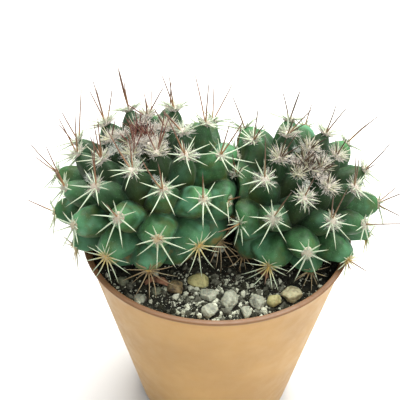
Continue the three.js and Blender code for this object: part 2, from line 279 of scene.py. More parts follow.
def spun(angle: float) -> Array:
    """The rows by which points are multiplied to turn them about the vertical."""
    cos, sin = math.cos(angle), math.sin(angle)
    return np.array([[cos, sin, 0.0], [-sin, cos, 0.0], [0.0, 0.0, 1.0]])


def cube_sphere(cells: int) -> tuple[Array, Array]:
    """A sphere of even quads: six square grids of equal angles, pushed out to radius 1.

    Args:
        cells: number of quads along a side of each grid.

    Returns:
        Directions of the welded points, and faces as corner numbers.
    """
    side = np.tan(np.linspace(-1.0, 1.0, cells + 1) * math.pi / 4.0)
    a, b = np.meshgrid(side, side, indexing="ij")
    one = np.ones_like(a)
    patches = ((one, a, b), (-one, b, a), (b, one, a), (a, -one, b), (a, b, one), (b, a, -one))
    points = unit(np.concatenate([np.stack(p, axis=-1).reshape(-1, 3) for p in patches]))
    i, j = np.meshgrid(np.arange(cells), np.arange(cells), indexing="ij")
    first = i * (cells + 1) + j
    quads = np.stack((first, first + cells + 1, first + cells + 2, first + 1), axis=-1)
    blocks = copies(quads.reshape(-1, 4), len(patches), (cells + 1) ** 2)
    keys = np.round(points * 1e6).astype(np.int64)
    _, kept, welded = np.unique(keys, axis=0, return_index=True, return_inverse=True)
    return points[kept], welded.reshape(-1)[blocks]


def icosphere(levels: int) -> tuple[Array, Array]:
    """A sphere of triangles: an icosahedron whose faces are split in four again and again.

    The icosahedron's points are the turns of (0, 1, golden ratio) with all signs, and its faces
    the triples of points that are all 2 apart.

    Args:
        levels: number of times that each face is split.

    Returns:
        Directions of the points, and faces as corner numbers.
    """
    golden = (1.0 + math.sqrt(5.0)) / 2.0
    signs = np.array([(0.0, a, b) for a in (-1.0, 1.0) for b in (-golden, golden)])
    points = np.concatenate([signs, signs[:, [1, 2, 0]], signs[:, [2, 0, 1]]])
    i, j, k = (x.ravel() for x in np.meshgrid(*[np.arange(12)] * 3, indexing="ij"))
    near = np.isclose(np.linalg.norm(points[:, None] - points[None], axis=2), 2.0)
    outward = dot(np.cross(points[i], points[j]), points[k]) > 0.0
    picked = near[i, j] & near[j, k] & near[k, i] & (i < j) & (i < k) & outward
    faces = np.stack((i, j, k), axis=1)[picked]
    points = unit(points)
    for _ in range(levels):
        edges = np.concatenate([faces[:, [0, 1]], faces[:, [1, 2]], faces[:, [2, 0]]])
        keys, place = np.unique(np.sort(edges, axis=1), axis=0, return_inverse=True)
        middle = place.reshape(3, -1).T + len(points)
        points = np.concatenate([points, unit(points[keys].sum(axis=1))])
        a, b, c = faces.T
        ab, bc, ca = middle.T
        thirds = ((a, ab, ca), (ab, b, bc), (ca, bc, c), (ab, bc, ca))
        faces = np.concatenate([np.stack(t, axis=1) for t in thirds])
    return points, faces


def octahedron() -> tuple[Array, Array]:
    """A sphere of eight triangles, with a point at either end of each axis.

    Returns:
        Directions of the six points, and faces as corner numbers.
    """
    points = np.concatenate([np.eye(3), -np.eye(3)])
    signs = np.array([(a, b, c) for a in (0, 3) for b in (0, 3) for c in (0, 3)])
    corners = signs + np.arange(3)
    odd = (signs.sum(axis=1) // 3) % 2 == 1
    corners[odd] = corners[odd][:, ::-1]
    return points, corners


class Rows:
    """Arrays of one length by name: one row for each thing that they describe."""

    def kept(self, mask: Array) -> Self:
        """The rows that a mask picks."""
        return type(self)(**{name: rows[mask] for name, rows in vars(self).items()})

    def repeated(self, each: int) -> Self:
        """Each row several times in turn."""
        return type(self)(**{n: np.repeat(rows, each, axis=0) for n, rows in vars(self).items()})

    @classmethod
    def joined(cls, sets: list[Self]) -> Self:
        """Several sets of rows as one."""
        return cls(**{n: np.concatenate([getattr(s, n) for s in sets]) for n in vars(sets[0])})


@dataclass
class Strands(Rows):
    """A bundle of tapered, slightly bent strands: spines, hairs or fibres."""

    roots: Array
    ways: Array
    lengths: Array
    radii: Array
    bends: Array
    tint: Array
    age: Array

    def surface(self, sides: int, rings: int, taper: float) -> Surface:
        """Carries a shrinking ring of points along each strand's curve.

        The curve is root + way * length * t + bend * t * t. The radius is the base radius times
        (1 - t) to the power of the taper, so the strand ends in one point. A fan closes the root.

        Args:
            sides: points round each ring.
            rings: rings along the strand, before its tip.
            taper: power of the taper, below 1 for a strand that stays thick for longer.

        Returns:
            The surface, with the values along, tint and age.
        """
        t = np.arange(rings + 1) / rings
        run = self.ways * self.lengths[:, None]
        bend = self.bends[:, None]
        line = self.roots[:, None] + run[:, None] * t[:, None] + bend * t[:, None] ** 2
        tangent = unit(run[:, None] + 2.0 * bend * t[:, None])
        helper = np.where(np.abs(self.ways[:, 2:]) < 0.9, UP, np.array([1.0, 0.0, 0.0]))
        across = unit(np.cross(tangent, helper[:, None]))
        over = np.cross(tangent, across)
        turn = (np.arange(sides) * math.tau / sides)[:, None]
        circle = across[:, :, None] * np.cos(turn) + over[:, :, None] * np.sin(turn)
        radius = self.radii[:, None] * (1.0 - t[:-1]) ** taper
        made = tubes(line[:, :-1, None] + circle[:, :-1] * radius[..., None, None], line[:, [0, -1]])
        place = np.concatenate([np.repeat(t[:-1], sides), [0.0, 1.0]])
        made.values = {
            "along": np.tile(place, len(self.roots)),
            "tint": np.repeat(self.tint, len(place)),
            "age": np.repeat(self.age, len(place)),
        }
        return made


class Shader:
    """A material under construction: short ways to add and join its nodes.

    A colour is a socket or a display colour. Sizes of patterns and depths of bumps are in
    millimetres, and a subsurface scale is in metres.
    """

    MIX_SHARE, MIX_A, MIX_B, MIXED = 0, 6, 7, 2

    def __init__(self, name: str) -> None:
        """Starts a material with a Principled shader and an output.

        Args:
            name: name of the material.
        """
        self.material = bpy.data.materials.new(name)
        self.material.use_nodes = True
        self.tree = self.material.node_tree
        self.place = self.node("ShaderNodeTexCoord", "Object", {})

    def feed(self, socket: Socket, source: object) -> None:
        """Links a socket to its source, or sets it to a plain value.

        Args:
            socket: the input.
            source: an output, a display colour, or a number or several.
        """
        if isinstance(source, bpy.types.NodeSocket):
            self.tree.links.new(source, socket)
        else:
            socket.default_value = linear(source) if isinstance(source, str) else source

    def node(self, kind: str, output: str | int, inputs: dict, **settings: object) -> Socket:
        """Adds a node.

        Args:
            kind: type of the node.
            output: name or number of the output that is wanted.
            inputs: source of each input, by name or number.
            settings: values of the node's properties.

        Returns:
            The output.
        """
        made = self.tree.nodes.new(kind)
        for key, value in settings.items():
            setattr(made, key, value)
        for key, source in inputs.items():
            self.feed(made.inputs[key], source)
        return made.outputs[output]

    def finish(self, **sources: object) -> bpy.types.Material:
        """Feeds the shader's own sockets.

        Args:
            sources: source of each socket, named with underscores in place of spaces.

        Returns:
            The finished material.
        """
        shader = self.tree.nodes["Principled BSDF"]
        for key, source in sources.items():
            self.feed(shader.inputs[key.replace("_", " ")], source)
        return self.material

    def value(self, name: str) -> Socket:
        """The mesh's value of that name."""
        return self.node("ShaderNodeAttribute", "Fac", {}, attribute_name=name)

    def noise(self, size: float, detail: float = 3.0, roughness: float = 0.55) -> Socket:
        """Cloudy noise.

        Args:
            size: width of its blotches.
            detail: number of finer layers.
            roughness: strength of the finer layers.

        Returns:
            A number from 0 to 1, mostly near a half.
        """
        inputs = {"Vector": self.place, "Scale": 1.0 / (size * MM), "Detail": detail, "Roughness": roughness}
        return self.node("ShaderNodeTexNoise", "Fac", inputs)

    def cells(self, size: float) -> Socket:
        """Distance to the nearest of scattered points that lie about that far apart."""
        inputs = {"Vector": self.place, "Scale": 1.0 / (size * MM)}
        return self.node("ShaderNodeTexVoronoi", "Distance", inputs)

    def ramp(self, source: Socket, stops: tuple[tuple[float, str], ...]) -> Socket:
        """A colour ramp over a source.

        Args:
            source: the number that picks the colour.
            stops: position and colour of each stop, in order.

        Returns:
            The colour.
        """
        made = self.node("ShaderNodeValToRGB", "Color", {"Fac": source})
        elements = made.node.color_ramp.elements
        while len(elements) < len(stops):
            elements.new(0.5)
        for element, (position, colour) in zip(elements, stops):
            element.position = position
            element.color = linear(colour)
        return made

    def span(self, source: Socket, low: float, high: float, to_low: float = 0.0,
             to_high: float = 1.0) -> Socket:
        """Stretches a source smoothly from one range to another, clamped at both ends.

        Args:
            source: the number to stretch.
            low: where the first range begins.
            high: where it ends.
            to_low: result at low and below.
            to_high: result at high and above.

        Returns:
            The stretched number.
        """
        inputs = {
            "Value": source, "From Min": low, "From Max": high, "To Min": to_low, "To Max": to_high,
        }
        return self.node("ShaderNodeMapRange", "Result", inputs, interpolation_type="SMOOTHSTEP")

    def sum(self, a: Socket, b: Socket) -> Socket:
        """The sum of two numbers."""
        return self.node("ShaderNodeMath", 0, {0: a, 1: b}, operation="ADD")

    def times(self, a: Socket, b: Socket | float) -> Socket:
        """The product of two numbers."""
        return self.node("ShaderNodeMath", 0, {0: a, 1: b}, operation="MULTIPLY")

    def mix(self, share: Socket, a: Socket | str, b: Socket | str) -> Socket:
        """Colour a, with a share of colour b."""
        inputs = {self.MIX_SHARE: share, self.MIX_A: a, self.MIX_B: b}
        return self.node("ShaderNodeMix", self.MIXED, inputs, data_type="RGBA")

    def bump(self, source: Socket, depth: float, strength: float) -> Socket:
        """The normal of a surface that is raised by a source times the depth."""
        inputs = {"Height": source, "Distance": depth * MM, "Strength": strength}
        return self.node("ShaderNodeBump", "Normal", inputs)


@dataclass(frozen=True)
class FleshFinish:
    """Waxy blue-green skin with a painted highlight on the tubercles' shoulders and painted shade in the
    clefts, corky low down.
    """

    # The darkest green is painted shade for the clefts between the tubercles.
    deep: str = "0a1606"
    skin: str = "1c3f1d"
    # A pale green: a painted highlight on the tubercles' tips, and also random pale clouds.
    crest: str = "427646"
    # Mint: pale waxy green for random clouds of wax bloom, and partly painted light on the lower tubercles.
    mint: str = "578d6e"
    # Olive: the skin's own tint in random clouds, and partly painted shade on the tubercles' undersides.
    olive: str = "444c18"
    # Darker green near the crown: partly young skin, partly painted shade in the crown's hollow.
    crown: str = "182b16"
    cork: str = "75683c"
    speck: str = "86a588"
    speck_size: float = 0.42

    def material(self) -> bpy.types.Material:
        """Skin colour by relief: a painted highlight on the tips and painted shade in the clefts.
        By age: darker at the crown, partly painted shade, and paler low down, partly painted light.
        In clouds of wax and olive, with olive partly painted shade on the undersides, and fine pale specks.

        Returns:
            The finished material.
        """
        s = Shader("cactus_flesh")
        age = s.value("age")
        # Painted highlight on the tubercles' tips and painted shade in the clefts, by relief.
        body = s.ramp(s.value("relief"), (
            (0.0, self.crest), (0.25, self.skin), (0.42, self.skin), (0.68, self.deep),
        ))
        cloud = s.mix(s.span(s.noise(2.2, 4.0, 0.6), 0.35, 0.75, 0.0, 0.4), body, self.crest)
        # Paler towards the foot by age: partly older skin, partly painted light on the lower tubercles.
        grown = s.mix(s.span(age, 0.45, 0.9, 0.0, 0.35), cloud, self.mint)
        bloom = s.mix(s.span(s.noise(5.0, 2.0), 0.5, 0.72, 0.0, 0.7), grown, self.mint)
        # Olive on the undersides in clouds: partly the skin's own tint, partly painted shade.
        below = s.times(s.value("under"), s.span(s.noise(5.0), 0.3, 0.62, 0.2, 0.95))
        shaded = s.mix(below, bloom, self.olive)
        warm = s.mix(s.span(s.noise(3.4), 0.34, 0.5, 0.5, 0.0), shaded, self.olive)
        varied = s.mix(s.times(s.value("tint"), 0.45), warm, self.skin)
        # Darker near the crown: partly young skin, partly painted shade in the crown's hollow.
        young = s.mix(s.span(age, 0.0, 0.3, 0.75, 0.0), varied, self.crown)
        specked = s.mix(s.span(s.cells(self.speck_size), 0.1, 0.2, 0.22, 0.0), young, self.speck)
        corky = s.times(s.span(age, 0.86, 1.0), s.span(s.noise(3.5, 4.0), 0.46, 0.62))
        return s.finish(
            Base_Color=s.mix(corky, specked, self.cork),
            Roughness=s.span(s.noise(1.4), 0.3, 0.7, 0.5, 0.66), Specular_IOR_Level=0.26,
            Subsurface_Weight=0.22, Subsurface_Scale=0.0016, Subsurface_Radius=(0.5, 1.0, 0.45),
            Sheen_Weight=0.03, Sheen_Roughness=0.5,
            Normal=s.bump(s.sum(s.noise(0.5, 2.0), s.cells(self.speck_size)), 0.05, 0.6),
        )


@dataclass(frozen=True)
class SpineFinish:
    """Hard, smooth spines, coloured along their length and by age."""

    name: str
    base: str
    middle: str
    tip: str
    old: str
    bud: str
    glow: float = 0.25
    fade: float = 0.25
    stain: str = "b09848"

    def material(self) -> bpy.types.Material:
        """Colour from base to tip, stained at the foot of older spines and worn on the oldest.

        Returns:
            The finished material.
        """
        s = Shader(self.name)
        along, age = s.value("along"), s.value("age")
        length = s.ramp(along, (
            (0.0, self.base), (self.fade, self.middle), (0.7, self.middle), (1.0, self.tip),
        ))
        foot = s.times(s.span(along, 0.1, 0.55, 0.85, 0.0), s.span(age, 0.55, 0.9))
        stained = s.mix(foot, length, self.stain)
        budding = s.mix(s.span(age, 0.0, 0.04, 0.7, 0.0), stained, self.bud)
        worn = s.span(age, 0.88, 1.0, 0.0, 0.85)
        aged = s.mix(s.sum(s.times(s.value("tint"), worn), worn), budding, self.old)
        return s.finish(
            Base_Color=s.mix(s.span(s.noise(0.8), 0.4, 0.7, 0.0, 0.25), aged, self.base),
            Roughness=s.span(s.noise(0.5), 0.3, 0.7, 0.32, 0.48), Specular_IOR_Level=0.5,
            Subsurface_Weight=self.glow, Subsurface_Scale=0.0004, Subsurface_Radius=(1.0, 0.85, 0.6),
            Normal=s.bump(s.noise(0.25, 2.0), 0.02, 0.5),
        )


@dataclass(frozen=True)
class WoolFinish:
    """Matted cream felt and hairs."""

    pale: str = "beb9a9"
    matted: str = "a19d8c"
    blush: str = "a98778"
    shade: str = "ab8c42"
    fresh: str = "a2aba0"
    clean: str = "d2c9bf"

    def material(self) -> bpy.types.Material:
        """Cream felt, cleaner when young and browner when old, with a negative age in clefts.

        Returns:
            The finished material.
        """
        s = Shader("areole_wool")
        age = s.value("age")
        worn = s.times(s.span(age, 0.35, 1.0, 0.0, 0.9), s.span(s.noise(0.5), 0.2, 0.6, 0.3, 1.0))
        matted = s.mix(s.span(s.value("along"), 0.0, 0.4), self.matted, self.pale)
        blush = s.mix(s.span(s.value("tint"), 0.55, 1.0, 0.0, 0.35), matted, self.blush)
        clean = s.mix(s.span(age, 0.03, 0.25, 0.45, 0.0), blush, self.clean)
        axil = s.mix(s.span(age, -1.0, -0.2, 0.9, 0.0), clean, self.fresh)
        return s.finish(
            Base_Color=s.mix(worn, axil, self.shade), Roughness=1.0, Specular_IOR_Level=0.05,
            Sheen_Weight=0.15, Sheen_Roughness=0.6,
            Subsurface_Weight=0.3, Subsurface_Scale=0.0006, Subsurface_Radius=(1.0, 0.75, 0.6),
            Normal=s.bump(s.noise(0.12), 0.08, 0.8),
        )


@dataclass(frozen=True)
class GroundFinish:
    """Crumbly peat, grit or dry plant matter."""

    name: str
    dark: str
    light: str
    dust: str
    roughness: float = 0.95

    def material(self) -> bpy.types.Material:
        """Two colours in blotches and from lump to lump, with pale dust in points.

        Returns:
            The finished material.
        """
        s = Shader(self.name)
        body = s.mix(s.span(s.noise(1.6, 5.0, 0.7), 0.35, 0.65), self.dark, self.light)
        tinted = s.mix(s.times(s.value("tint"), 0.6), body, self.light)
        return s.finish(
            Base_Color=s.mix(s.span(s.cells(0.5), 0.1, 0.22, 0.55, 0.0), tinted, self.dust),
            Roughness=self.roughness, Specular_IOR_Level=0.25,
            Normal=s.bump(s.sum(s.noise(0.35, 5.0, 0.75), s.noise(1.1)), 0.25, 0.9),
        )


class Stone(Enum):
    """The kinds of stone in the soil: light and dark colour, pore size and height of bumps."""

    PUMICE = ("888b79", "63665a", 0.4, 0.03)
    QUARTZ = ("949061", "6a653f", 0.9, 0.02)
    TAN = ("9c9877", "6c6549", 0.7, 0.05)
    MOSSY = ("5a5f4b", "33382a", 0.6, 0.03)
    BROWN = ("6f6141", "3a2d1f", 0.7, 0.03)

    def __init__(self, light: str, dark: str, pore: float, rough: float) -> None:
        """Keeps the kind's values by name."""
        self.light, self.dark, self.pore, self.rough = light, dark, pore, rough


@dataclass(frozen=True)
class StoneFinish:
    """Weathered stone of one kind."""

    kind: Stone
    dirt: str = "2b241c"

    def material(self) -> bpy.types.Material:
        """Two mottled colours, soil stains low down, and pores as bump.

        Returns:
            The finished material.
        """
        kind = self.kind
        s = Shader(f"pebble_{kind.name.lower()}")
        mottled = s.mix(s.span(s.noise(1.3, 4.0, 0.65), 0.4, 0.68), kind.light, kind.dark)
        stained = s.span(s.sum(s.value("low"), s.noise(0.7, 4.0)), 0.85, 1.25)
        return s.finish(
            Base_Color=s.mix(stained, mottled, self.dirt),
            Roughness=s.span(s.noise(0.6), 0.3, 0.7, 0.6, 0.9),
            Subsurface_Weight=0.08, Subsurface_Scale=0.0005,
            Normal=s.bump(s.sum(s.cells(kind.pore), s.noise(0.3, 4.0, 0.7)), 0.11, 0.7),
        )


@dataclass(frozen=True)
class PlasticFinish:
    """Thin, slightly see-through moulded plastic of a terracotta peach."""

    wall: str = "ae8b58"
    dense: str = "674a30"
    scuff: str = "b89c6e"

    def material(self) -> bpy.types.Material:
        """Peach wall, denser where the plastic is thick, with faint flow marks and scuffs.

        Returns:
            The finished material.
        """
        s = Shader("pot_plastic")
        flow = s.mix(s.span(s.noise(18.0), 0.3, 0.7, 0.0, 0.24), self.wall, self.dense)
        thick = s.mix(s.value("thick"), flow, self.dense)
        marks = s.span(s.noise(0.9, 6.0, 0.75), 0.6, 0.78, 0.0, 0.3)
        return s.finish(
            Base_Color=s.mix(marks, thick, self.scuff),
            Roughness=s.span(s.noise(3.0, 4.0), 0.3, 0.7, 0.44, 0.6), Specular_IOR_Level=0.32,
            Subsurface_Weight=0.2, Subsurface_Scale=0.002, Subsurface_Radius=(1.0, 0.55, 0.3),
            Normal=s.bump(s.sum(s.noise(0.7), s.noise(5.0, 2.0)), 0.05, 0.35),
        )


@dataclass
class Pot:
    """The nursery pot: a tapered thin-walled cup with a lip and drain holes."""

    height: float = 50.0
    foot_radius: float = 18.4
    foot_round: float = 0.8
    foot_inset: float = 0.75
    shoulder_radius: float = 29.2
    wall: float = 0.75
    floor: float = 1.2
    lip_radius: float = 29.8
    lip_height: float = 0.6
    lip_round: float = 0.3
    edge_round: float = 0.2
    plain_end: float = 0.9
    holes: int = 6
    hole_radius: float = 2.2
    hole_ring: float = 11.5
    hole_sides: int = 24
    segments: int = 192
    wobble: float = 0.002
    wobble_length: float = 38.0
    sharp_angle: float = 50.0

    def outer_radius(self, z: Array | float) -> Array | float:
        """Radius of the wall's outside at a height."""
        growth = self.shoulder_radius - self.foot_radius
        return self.foot_radius + growth * z / (self.height - self.lip_height)

    def inner_radius(self, z: Array | float) -> Array | float:
        """Radius of the wall's inside at a height."""
        return self.outer_radius(z) - self.wall

    @staticmethod
    def arc(x: float, z: float, radius: float, start: float, end: float) -> list[tuple[float, float]]:
        """Points of a round edge about (x, z), by angle in degrees from outwards to up."""
        angles = np.radians(np.linspace(start, end, 5))
        return [(x + radius * math.cos(a), z + radius * math.sin(a)) for a in angles]

    def profile(self) -> Array:
        """The cup's half section as radius and height, from the axis outside to the axis inside.

        Returns:
            Corner points of the section, with the round edges as short arcs.
        """
        top, lip_foot = self.height, self.height - self.lip_height
        lip, edge = self.lip_round, self.edge_round
        outside = np.linspace(2.0, lip_foot - self.plain_end, 24)
        inside = np.linspace(top - self.plain_end, self.floor + 1.2, 16)
        outline = [(radius, 0.0) for radius in (0.0, 4.0, 8.0, 12.0, 15.0)]
        foot = self.foot_round
        outline += self.arc(self.foot_radius - self.foot_inset, foot, foot, -90.0, -12.0)
        outline += [(self.outer_radius(z), z) for z in outside]
        outline += self.arc(self.lip_radius - lip, lip_foot + lip, lip, -40.0, 0.0)
        outline += self.arc(self.lip_radius - lip, top - lip, lip, 0.0, 90.0)
        outline += self.arc(self.inner_radius(top) + edge, top - edge, edge, 90.0, 180.0)
        outline += [(self.inner_radius(z), z) for z in inside]
        outline += [(radius, self.floor) for radius in (self.inner_radius(self.floor) - 0.4, 6.0, 0.0)]
        return np.array(outline)

    def shell(self) -> Surface:
        """Turns the half section round the axis, slightly out of round towards the rim.

        Returns:
            The closed cup, with the value thick: 1 at the lip and foot, 0 on the thin wall.
        """
        radii, heights = self.profile().T
        cup = turned_body(lathe(radii[1:-1], heights[1:-1], self.segments), heights[0], heights[-1])
        z = cup.points[:, 2]
        uneven = self.wobble * waves(cup.points, self.wobble_length, 71) * rising(5.0, 30.0, z)
        cup.points[:, :2] *= (1.0 + uneven)[:, None]
        lip = rising(self.height - 2.0 * self.lip_height, self.height, z)
        cup.values["thick"] = np.maximum(lip, falling(0.6, 2.2, z))
        return cup

    def drills(self) -> bpy.types.Object:
        """Upright cylinders where the drain holes are cut out of the floor.

        Returns:
            The cylinders as one object.
        """
        around = (np.arange(self.holes) + 0.5) * math.tau / self.holes
        centres = self.hole_ring * np.column_stack((np.cos(around), np.sin(around), np.zeros(self.holes)))
        heights = (-1.0, self.floor + 1.0)
        rings = lathe((self.hole_radius, self.hole_radius), heights, self.hole_sides)
        rods = tubes(rings + centres[:, None, None], centres[:, None] + np.outer(heights, UP))
        return linked("drain_drills", rods.mesh("drain_drills"))

    def build(self) -> None:
        """Makes the cup, cuts its drain holes and puts it in place of the plain one."""
        cup = self.shell().piece("pot_shell", PlasticFinish().material(), "pot_plastic")
        drills = self.drills()
        cut = cup.modifiers.new("drain_holes", "BOOLEAN")
        cut.operation = "DIFFERENCE"
        cut.solver = "EXACT"
        cut.object = drills
        graph = bpy.context.evaluated_depsgraph_get()
        done = bpy.data.meshes.new_from_object(cup.evaluated_get(graph))
        cup.modifiers.clear()
        cup.data = done
        bpy.data.objects.remove(drills)
        done.set_sharp_from_angle(angle=math.radians(self.sharp_angle))
        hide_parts("pot")


@dataclass(frozen=True)
class PebbleSpec:
    """One stone: its place, widths and height, and its kind."""

    x: float
    y: float
    wide: float
    deep: float
    tall: float
    kind: Stone

    def half(self) -> Array:
        """Half its widths and height."""
        return np.array([self.wide, self.deep, self.tall]) / 2.0


@dataclass(frozen=True)
class HuskSpec:
    """One dried flower: its place, length, width and heading in degrees."""

    x: float
    y: float
    length: float
    width: float
    heading: float


PEBBLES = (
    PebbleSpec(-19.8, -15.2, 3.1, 2.8, 2.1, Stone.MOSSY),
    PebbleSpec(-3.8, -15.2, 5.0, 3.9, 2.6, Stone.QUARTZ),
    PebbleSpec(-8.7, -17.5, 3.6, 3.7, 2.7, Stone.BROWN),
    PebbleSpec(-1.8, -19.9, 3.9, 3.7, 2.7, Stone.PUMICE),
    PebbleSpec(2.3, -21.3, 3.8, 5.0, 3.3, Stone.PUMICE),
    PebbleSpec(-1.9, -24.2, 4.1, 3.2, 2.7, Stone.PUMICE),
    PebbleSpec(5.6, -24.3, 2.5, 2.9, 2.2, Stone.PUMICE),
    PebbleSpec(8.0, -21.5, 3.2, 4.1, 2.6, Stone.PUMICE),
    PebbleSpec(11.5, -20.9, 3.1, 3.2, 2.8, Stone.QUARTZ),
    PebbleSpec(15.3, -19.4, 4.3, 4.6, 3.4, Stone.TAN),
    PebbleSpec(-12.4, -18.3, 2.5, 2.7, 2.0, Stone.MOSSY),
    PebbleSpec(-15.9, -20.3, 3.1, 2.3, 2.0, Stone.PUMICE),
    PebbleSpec(3.4, 21.6, 3.9, 3.3, 2.5, Stone.TAN),
    PebbleSpec(-2.4, 24.3, 2.9, 3.2, 2.3, Stone.PUMICE),
    PebbleSpec(8.2, 24.2, 2.8, 2.6, 2.1, Stone.BROWN),
)


HUSKS = (
    HuskSpec(-11.6, -16.1, 4.2, 1.7, -32.0),
    HuskSpec(-13.9, -15.3, 3.0, 1.3, 40.0),
    HuskSpec(9.6, -13.4, 3.2, 1.5, -50.0),
    HuskSpec(12.8, 17.8, 3.6, 1.5, 20.0),
    HuskSpec(-6.4, 20.2, 3.0, 1.4, 105.0),
)


@dataclass
class Ground:
    """The soil in the pot, its stones, crumbs, grit, fibres and dried flowers."""

    pot: Pot
    level: float = 47.6
    clearance: float = 0.3
    pebble_sink: float = 0.42
    pebble_planes: int = 10
    pebble_sharpness: float = 30.0
    pebble_turn: float = 0.4
    heap: tuple[float, float] = (-0.5, -20.5)
    heap_spread: tuple[float, float] = (8.0, 3.6)
    husk_lift: float = 0.75
    fibre_lift: float = 0.25
    fibre_room: float = 2.2
    fibre_length: tuple[float, float] = (0.8, 2.6)
    fibre_radius: tuple[float, float] = (0.04, 0.1)
    stone_room: float = 1.22
    rings: int = 110
    segments: int = 220

    def height(self, x: Array, y: Array) -> Array:
        """Height of the soil without its crumbs.

        Hummocks are a product of a sine across and a cosine along, ripples a slanting sine, and
        the soil dips at the wall by the sixth power of the distance from the axis.

        Args:
            x: places across.
            y: places from front to back.

        Returns:
            The height at each place.
        """
        hummock = 0.3 * np.sin(0.31 * x + 1.3) * np.cos(0.27 * y)
        ripple = 0.22 * np.sin(0.55 * x - 0.4 * y)
        edge = np.hypot(x, y) / self.pot.inner_radius(self.level)
        return self.level + hummock + ripple - 0.5 * edge ** 6

    def crumbled(self, x: Array, y: Array) -> Array:
        """The soil's height with its clods and crumbs of three sizes.

        Args:
            x: places across.
            y: places from front to back.

        Returns:
            The height at each place.
        """
        place = np.stack((x, y, np.zeros_like(x)), axis=-1)
        clods = 0.2 * waves(place, 4.5, 5) + 0.13 * waves(place, 1.7, 6)
        return self.height(x, y) + clods + 0.07 * waves(place, 0.7, 8, count=9)

    def reach(self, size: float = 0.0) -> float:
        """How far from the axis a thing that reaches so far itself can lie inside the wall."""
        return self.pot.inner_radius(self.level) - self.clearance - size

    def soil(self) -> Surface:
        """A closed body: crumbled top as rings round the centre, smooth side, flat bottom.

        Returns:
            The soil, with the value tint for slow changes of colour.
        """
        low = self.pot.floor + self.clearance
        foot = self.pot.inner_radius(low) - self.clearance
        radii = self.reach() * np.arange(self.rings, 0, -1) / self.rings
        rings = lathe((foot, *radii), np.full(self.rings + 1, low), self.segments)
        rings[1:, :, 2] = self.crumbled(rings[1:, :, 0], rings[1:, :, 1])
        body = turned_body(rings, low, self.crumbled(0.0, 0.0))
        body.values["tint"] = 0.5 + 0.5 * waves(body.points, 9.0, 12)
        return body

    def pebble(self, index: int, spec: PebbleSpec) -> Surface:
        """A broken, weathered stone.

        Along each direction the radius is the soft smallest of the distances to random planes,
        kept near an ellipsoid, and roughened by waves of two sizes. Pumice is also bent by wider
        waves, pitted by narrower ones and a little pointed.

        Args:
            index: number of the stone, which seeds its shape.
            spec: its place, size and kind.

        Returns:
            The stone, with the value low: 1 at its buried foot and 0 at its top.
        """
        rng = np.random.default_rng(900 + index)
        ways, faces = icosphere(4)
        normals = unit(rng.normal(size=(self.pebble_planes, 3)))
        offsets = rng.uniform(0.7, 1.0, self.pebble_planes)
        reach = np.minimum(offsets / np.maximum(ways @ normals.T, 1e-3), 3.0)
        sharp = self.pebble_sharpness
        radius = np.minimum(-np.log(np.exp(-sharp * reach).sum(axis=1)) / sharp, 1.06)
        rough = spec.kind.rough
        radius = radius + rough * waves(ways, 1.1, 40 + index) + 0.5 * rough * waves(ways, 0.4, 60 + index)
        half = spec.half()
        if spec.kind is Stone.PUMICE:
            pits = np.abs(waves(ways, 0.5, 90 + index))
            radius = radius + 0.05 * waves(ways, 1.6, 80 + index) - 0.035 * pits
            ones = np.ones(len(ways))
            half = half * np.column_stack((0.9 + 0.22 * ways[:, 1], 1.1 * ones, ones))
        turn = rng.uniform(-self.pebble_turn, self.pebble_turn)
        points = (ways * radius[:, None] * half) @ spun(turn) + self.pebble_centre(spec)
        above = points[:, 2] - self.height(points[:, 0], points[:, 1])
        return Surface(points, [faces], {"low": falling(-0.2, 0.8, above)})

    def pebble_centre(self, spec: PebbleSpec) -> Array:
        """The centre of a stone, with part of the stone sunk in the soil."""
        soil = self.height(spec.x, spec.y)
        return np.array([spec.x, spec.y, soil + spec.tall * (0.5 - self.pebble_sink)])

    def scatter(self, count: int, sizes: tuple[float, float], shape: tuple[Array, Array], seed: int,
                lift: float, heaped: float = 0.0) -> Surface:
        """Many small lumps strewn over the soil, none of them inside a stone.

        Each is the plain shape with its points pushed in and out at random, stretched by three
        random widths, turned about the vertical and set on the soil.

        Args:
            count: number of lumps.
            sizes: smallest and largest radius.
            shape: points and faces of the plain lump.
            seed: seed of the places and shapes.
            lift: height of the centre above the soil, in radii.
            heaped: share of them that lies heaped at the front, between the stones.

        Returns:
            All lumps, with the value tint that differs from lump to lump.
        """
        rng = np.random.default_rng(seed)
        ways, faces = shape
        reach = self.reach(sizes[1])
        radius = reach * np.sqrt(rng.uniform(0.0, 1.0, count))
        angle = rng.uniform(0.0, math.tau, count)
        chosen = rng.uniform(0.0, 1.0, count) < heaped
        heap = [at + rng.normal(0.0, wide, count) for at, wide in zip(self.heap, self.heap_spread)]
        place = np.where(chosen, heap, radius * np.stack((np.cos(angle), np.sin(angle))))
        place *= np.minimum(1.0, reach / np.maximum(np.hypot(*place), 1e-6))
        for spec in PEBBLES:
            middle = np.array([[spec.x], [spec.y]])
            off = place - middle
            across = np.hypot(off[0] * 2.0 / spec.wide, off[1] * 2.0 / spec.deep)
            place = middle + off * np.maximum(1.0, self.stone_room / np.maximum(across, 0.05))
        place *= np.minimum(1.0, reach / np.hypot(*place))
        size = sizes[0] + (sizes[1] - sizes[0]) * rng.power(0.55, count) ** 2.2
        spread = size[:, None] * rng.uniform(0.5, 1.35, (count, 3))
        lumps = ways[None] * rng.uniform(0.66, 1.26, (count, len(ways), 1)) * spread[:, None]
        spin = rng.uniform(0.0, math.tau, count)[:, None]
        cos, sin = np.cos(spin), np.sin(spin)
        x, y, z = np.moveaxis(lumps, -1, 0)
        turned = np.stack((x * cos - y * sin, x * sin + y * cos, z), axis=-1)
        centres = np.column_stack((*place, self.crumbled(*place) + lift * size))
        tint = np.repeat(rng.uniform(0.0, 1.0, count), len(ways))
        points = (turned + centres[:, None]).reshape(-1, 3)
        return Surface(points, [copies(faces, count, len(ways))], {"tint": tint})

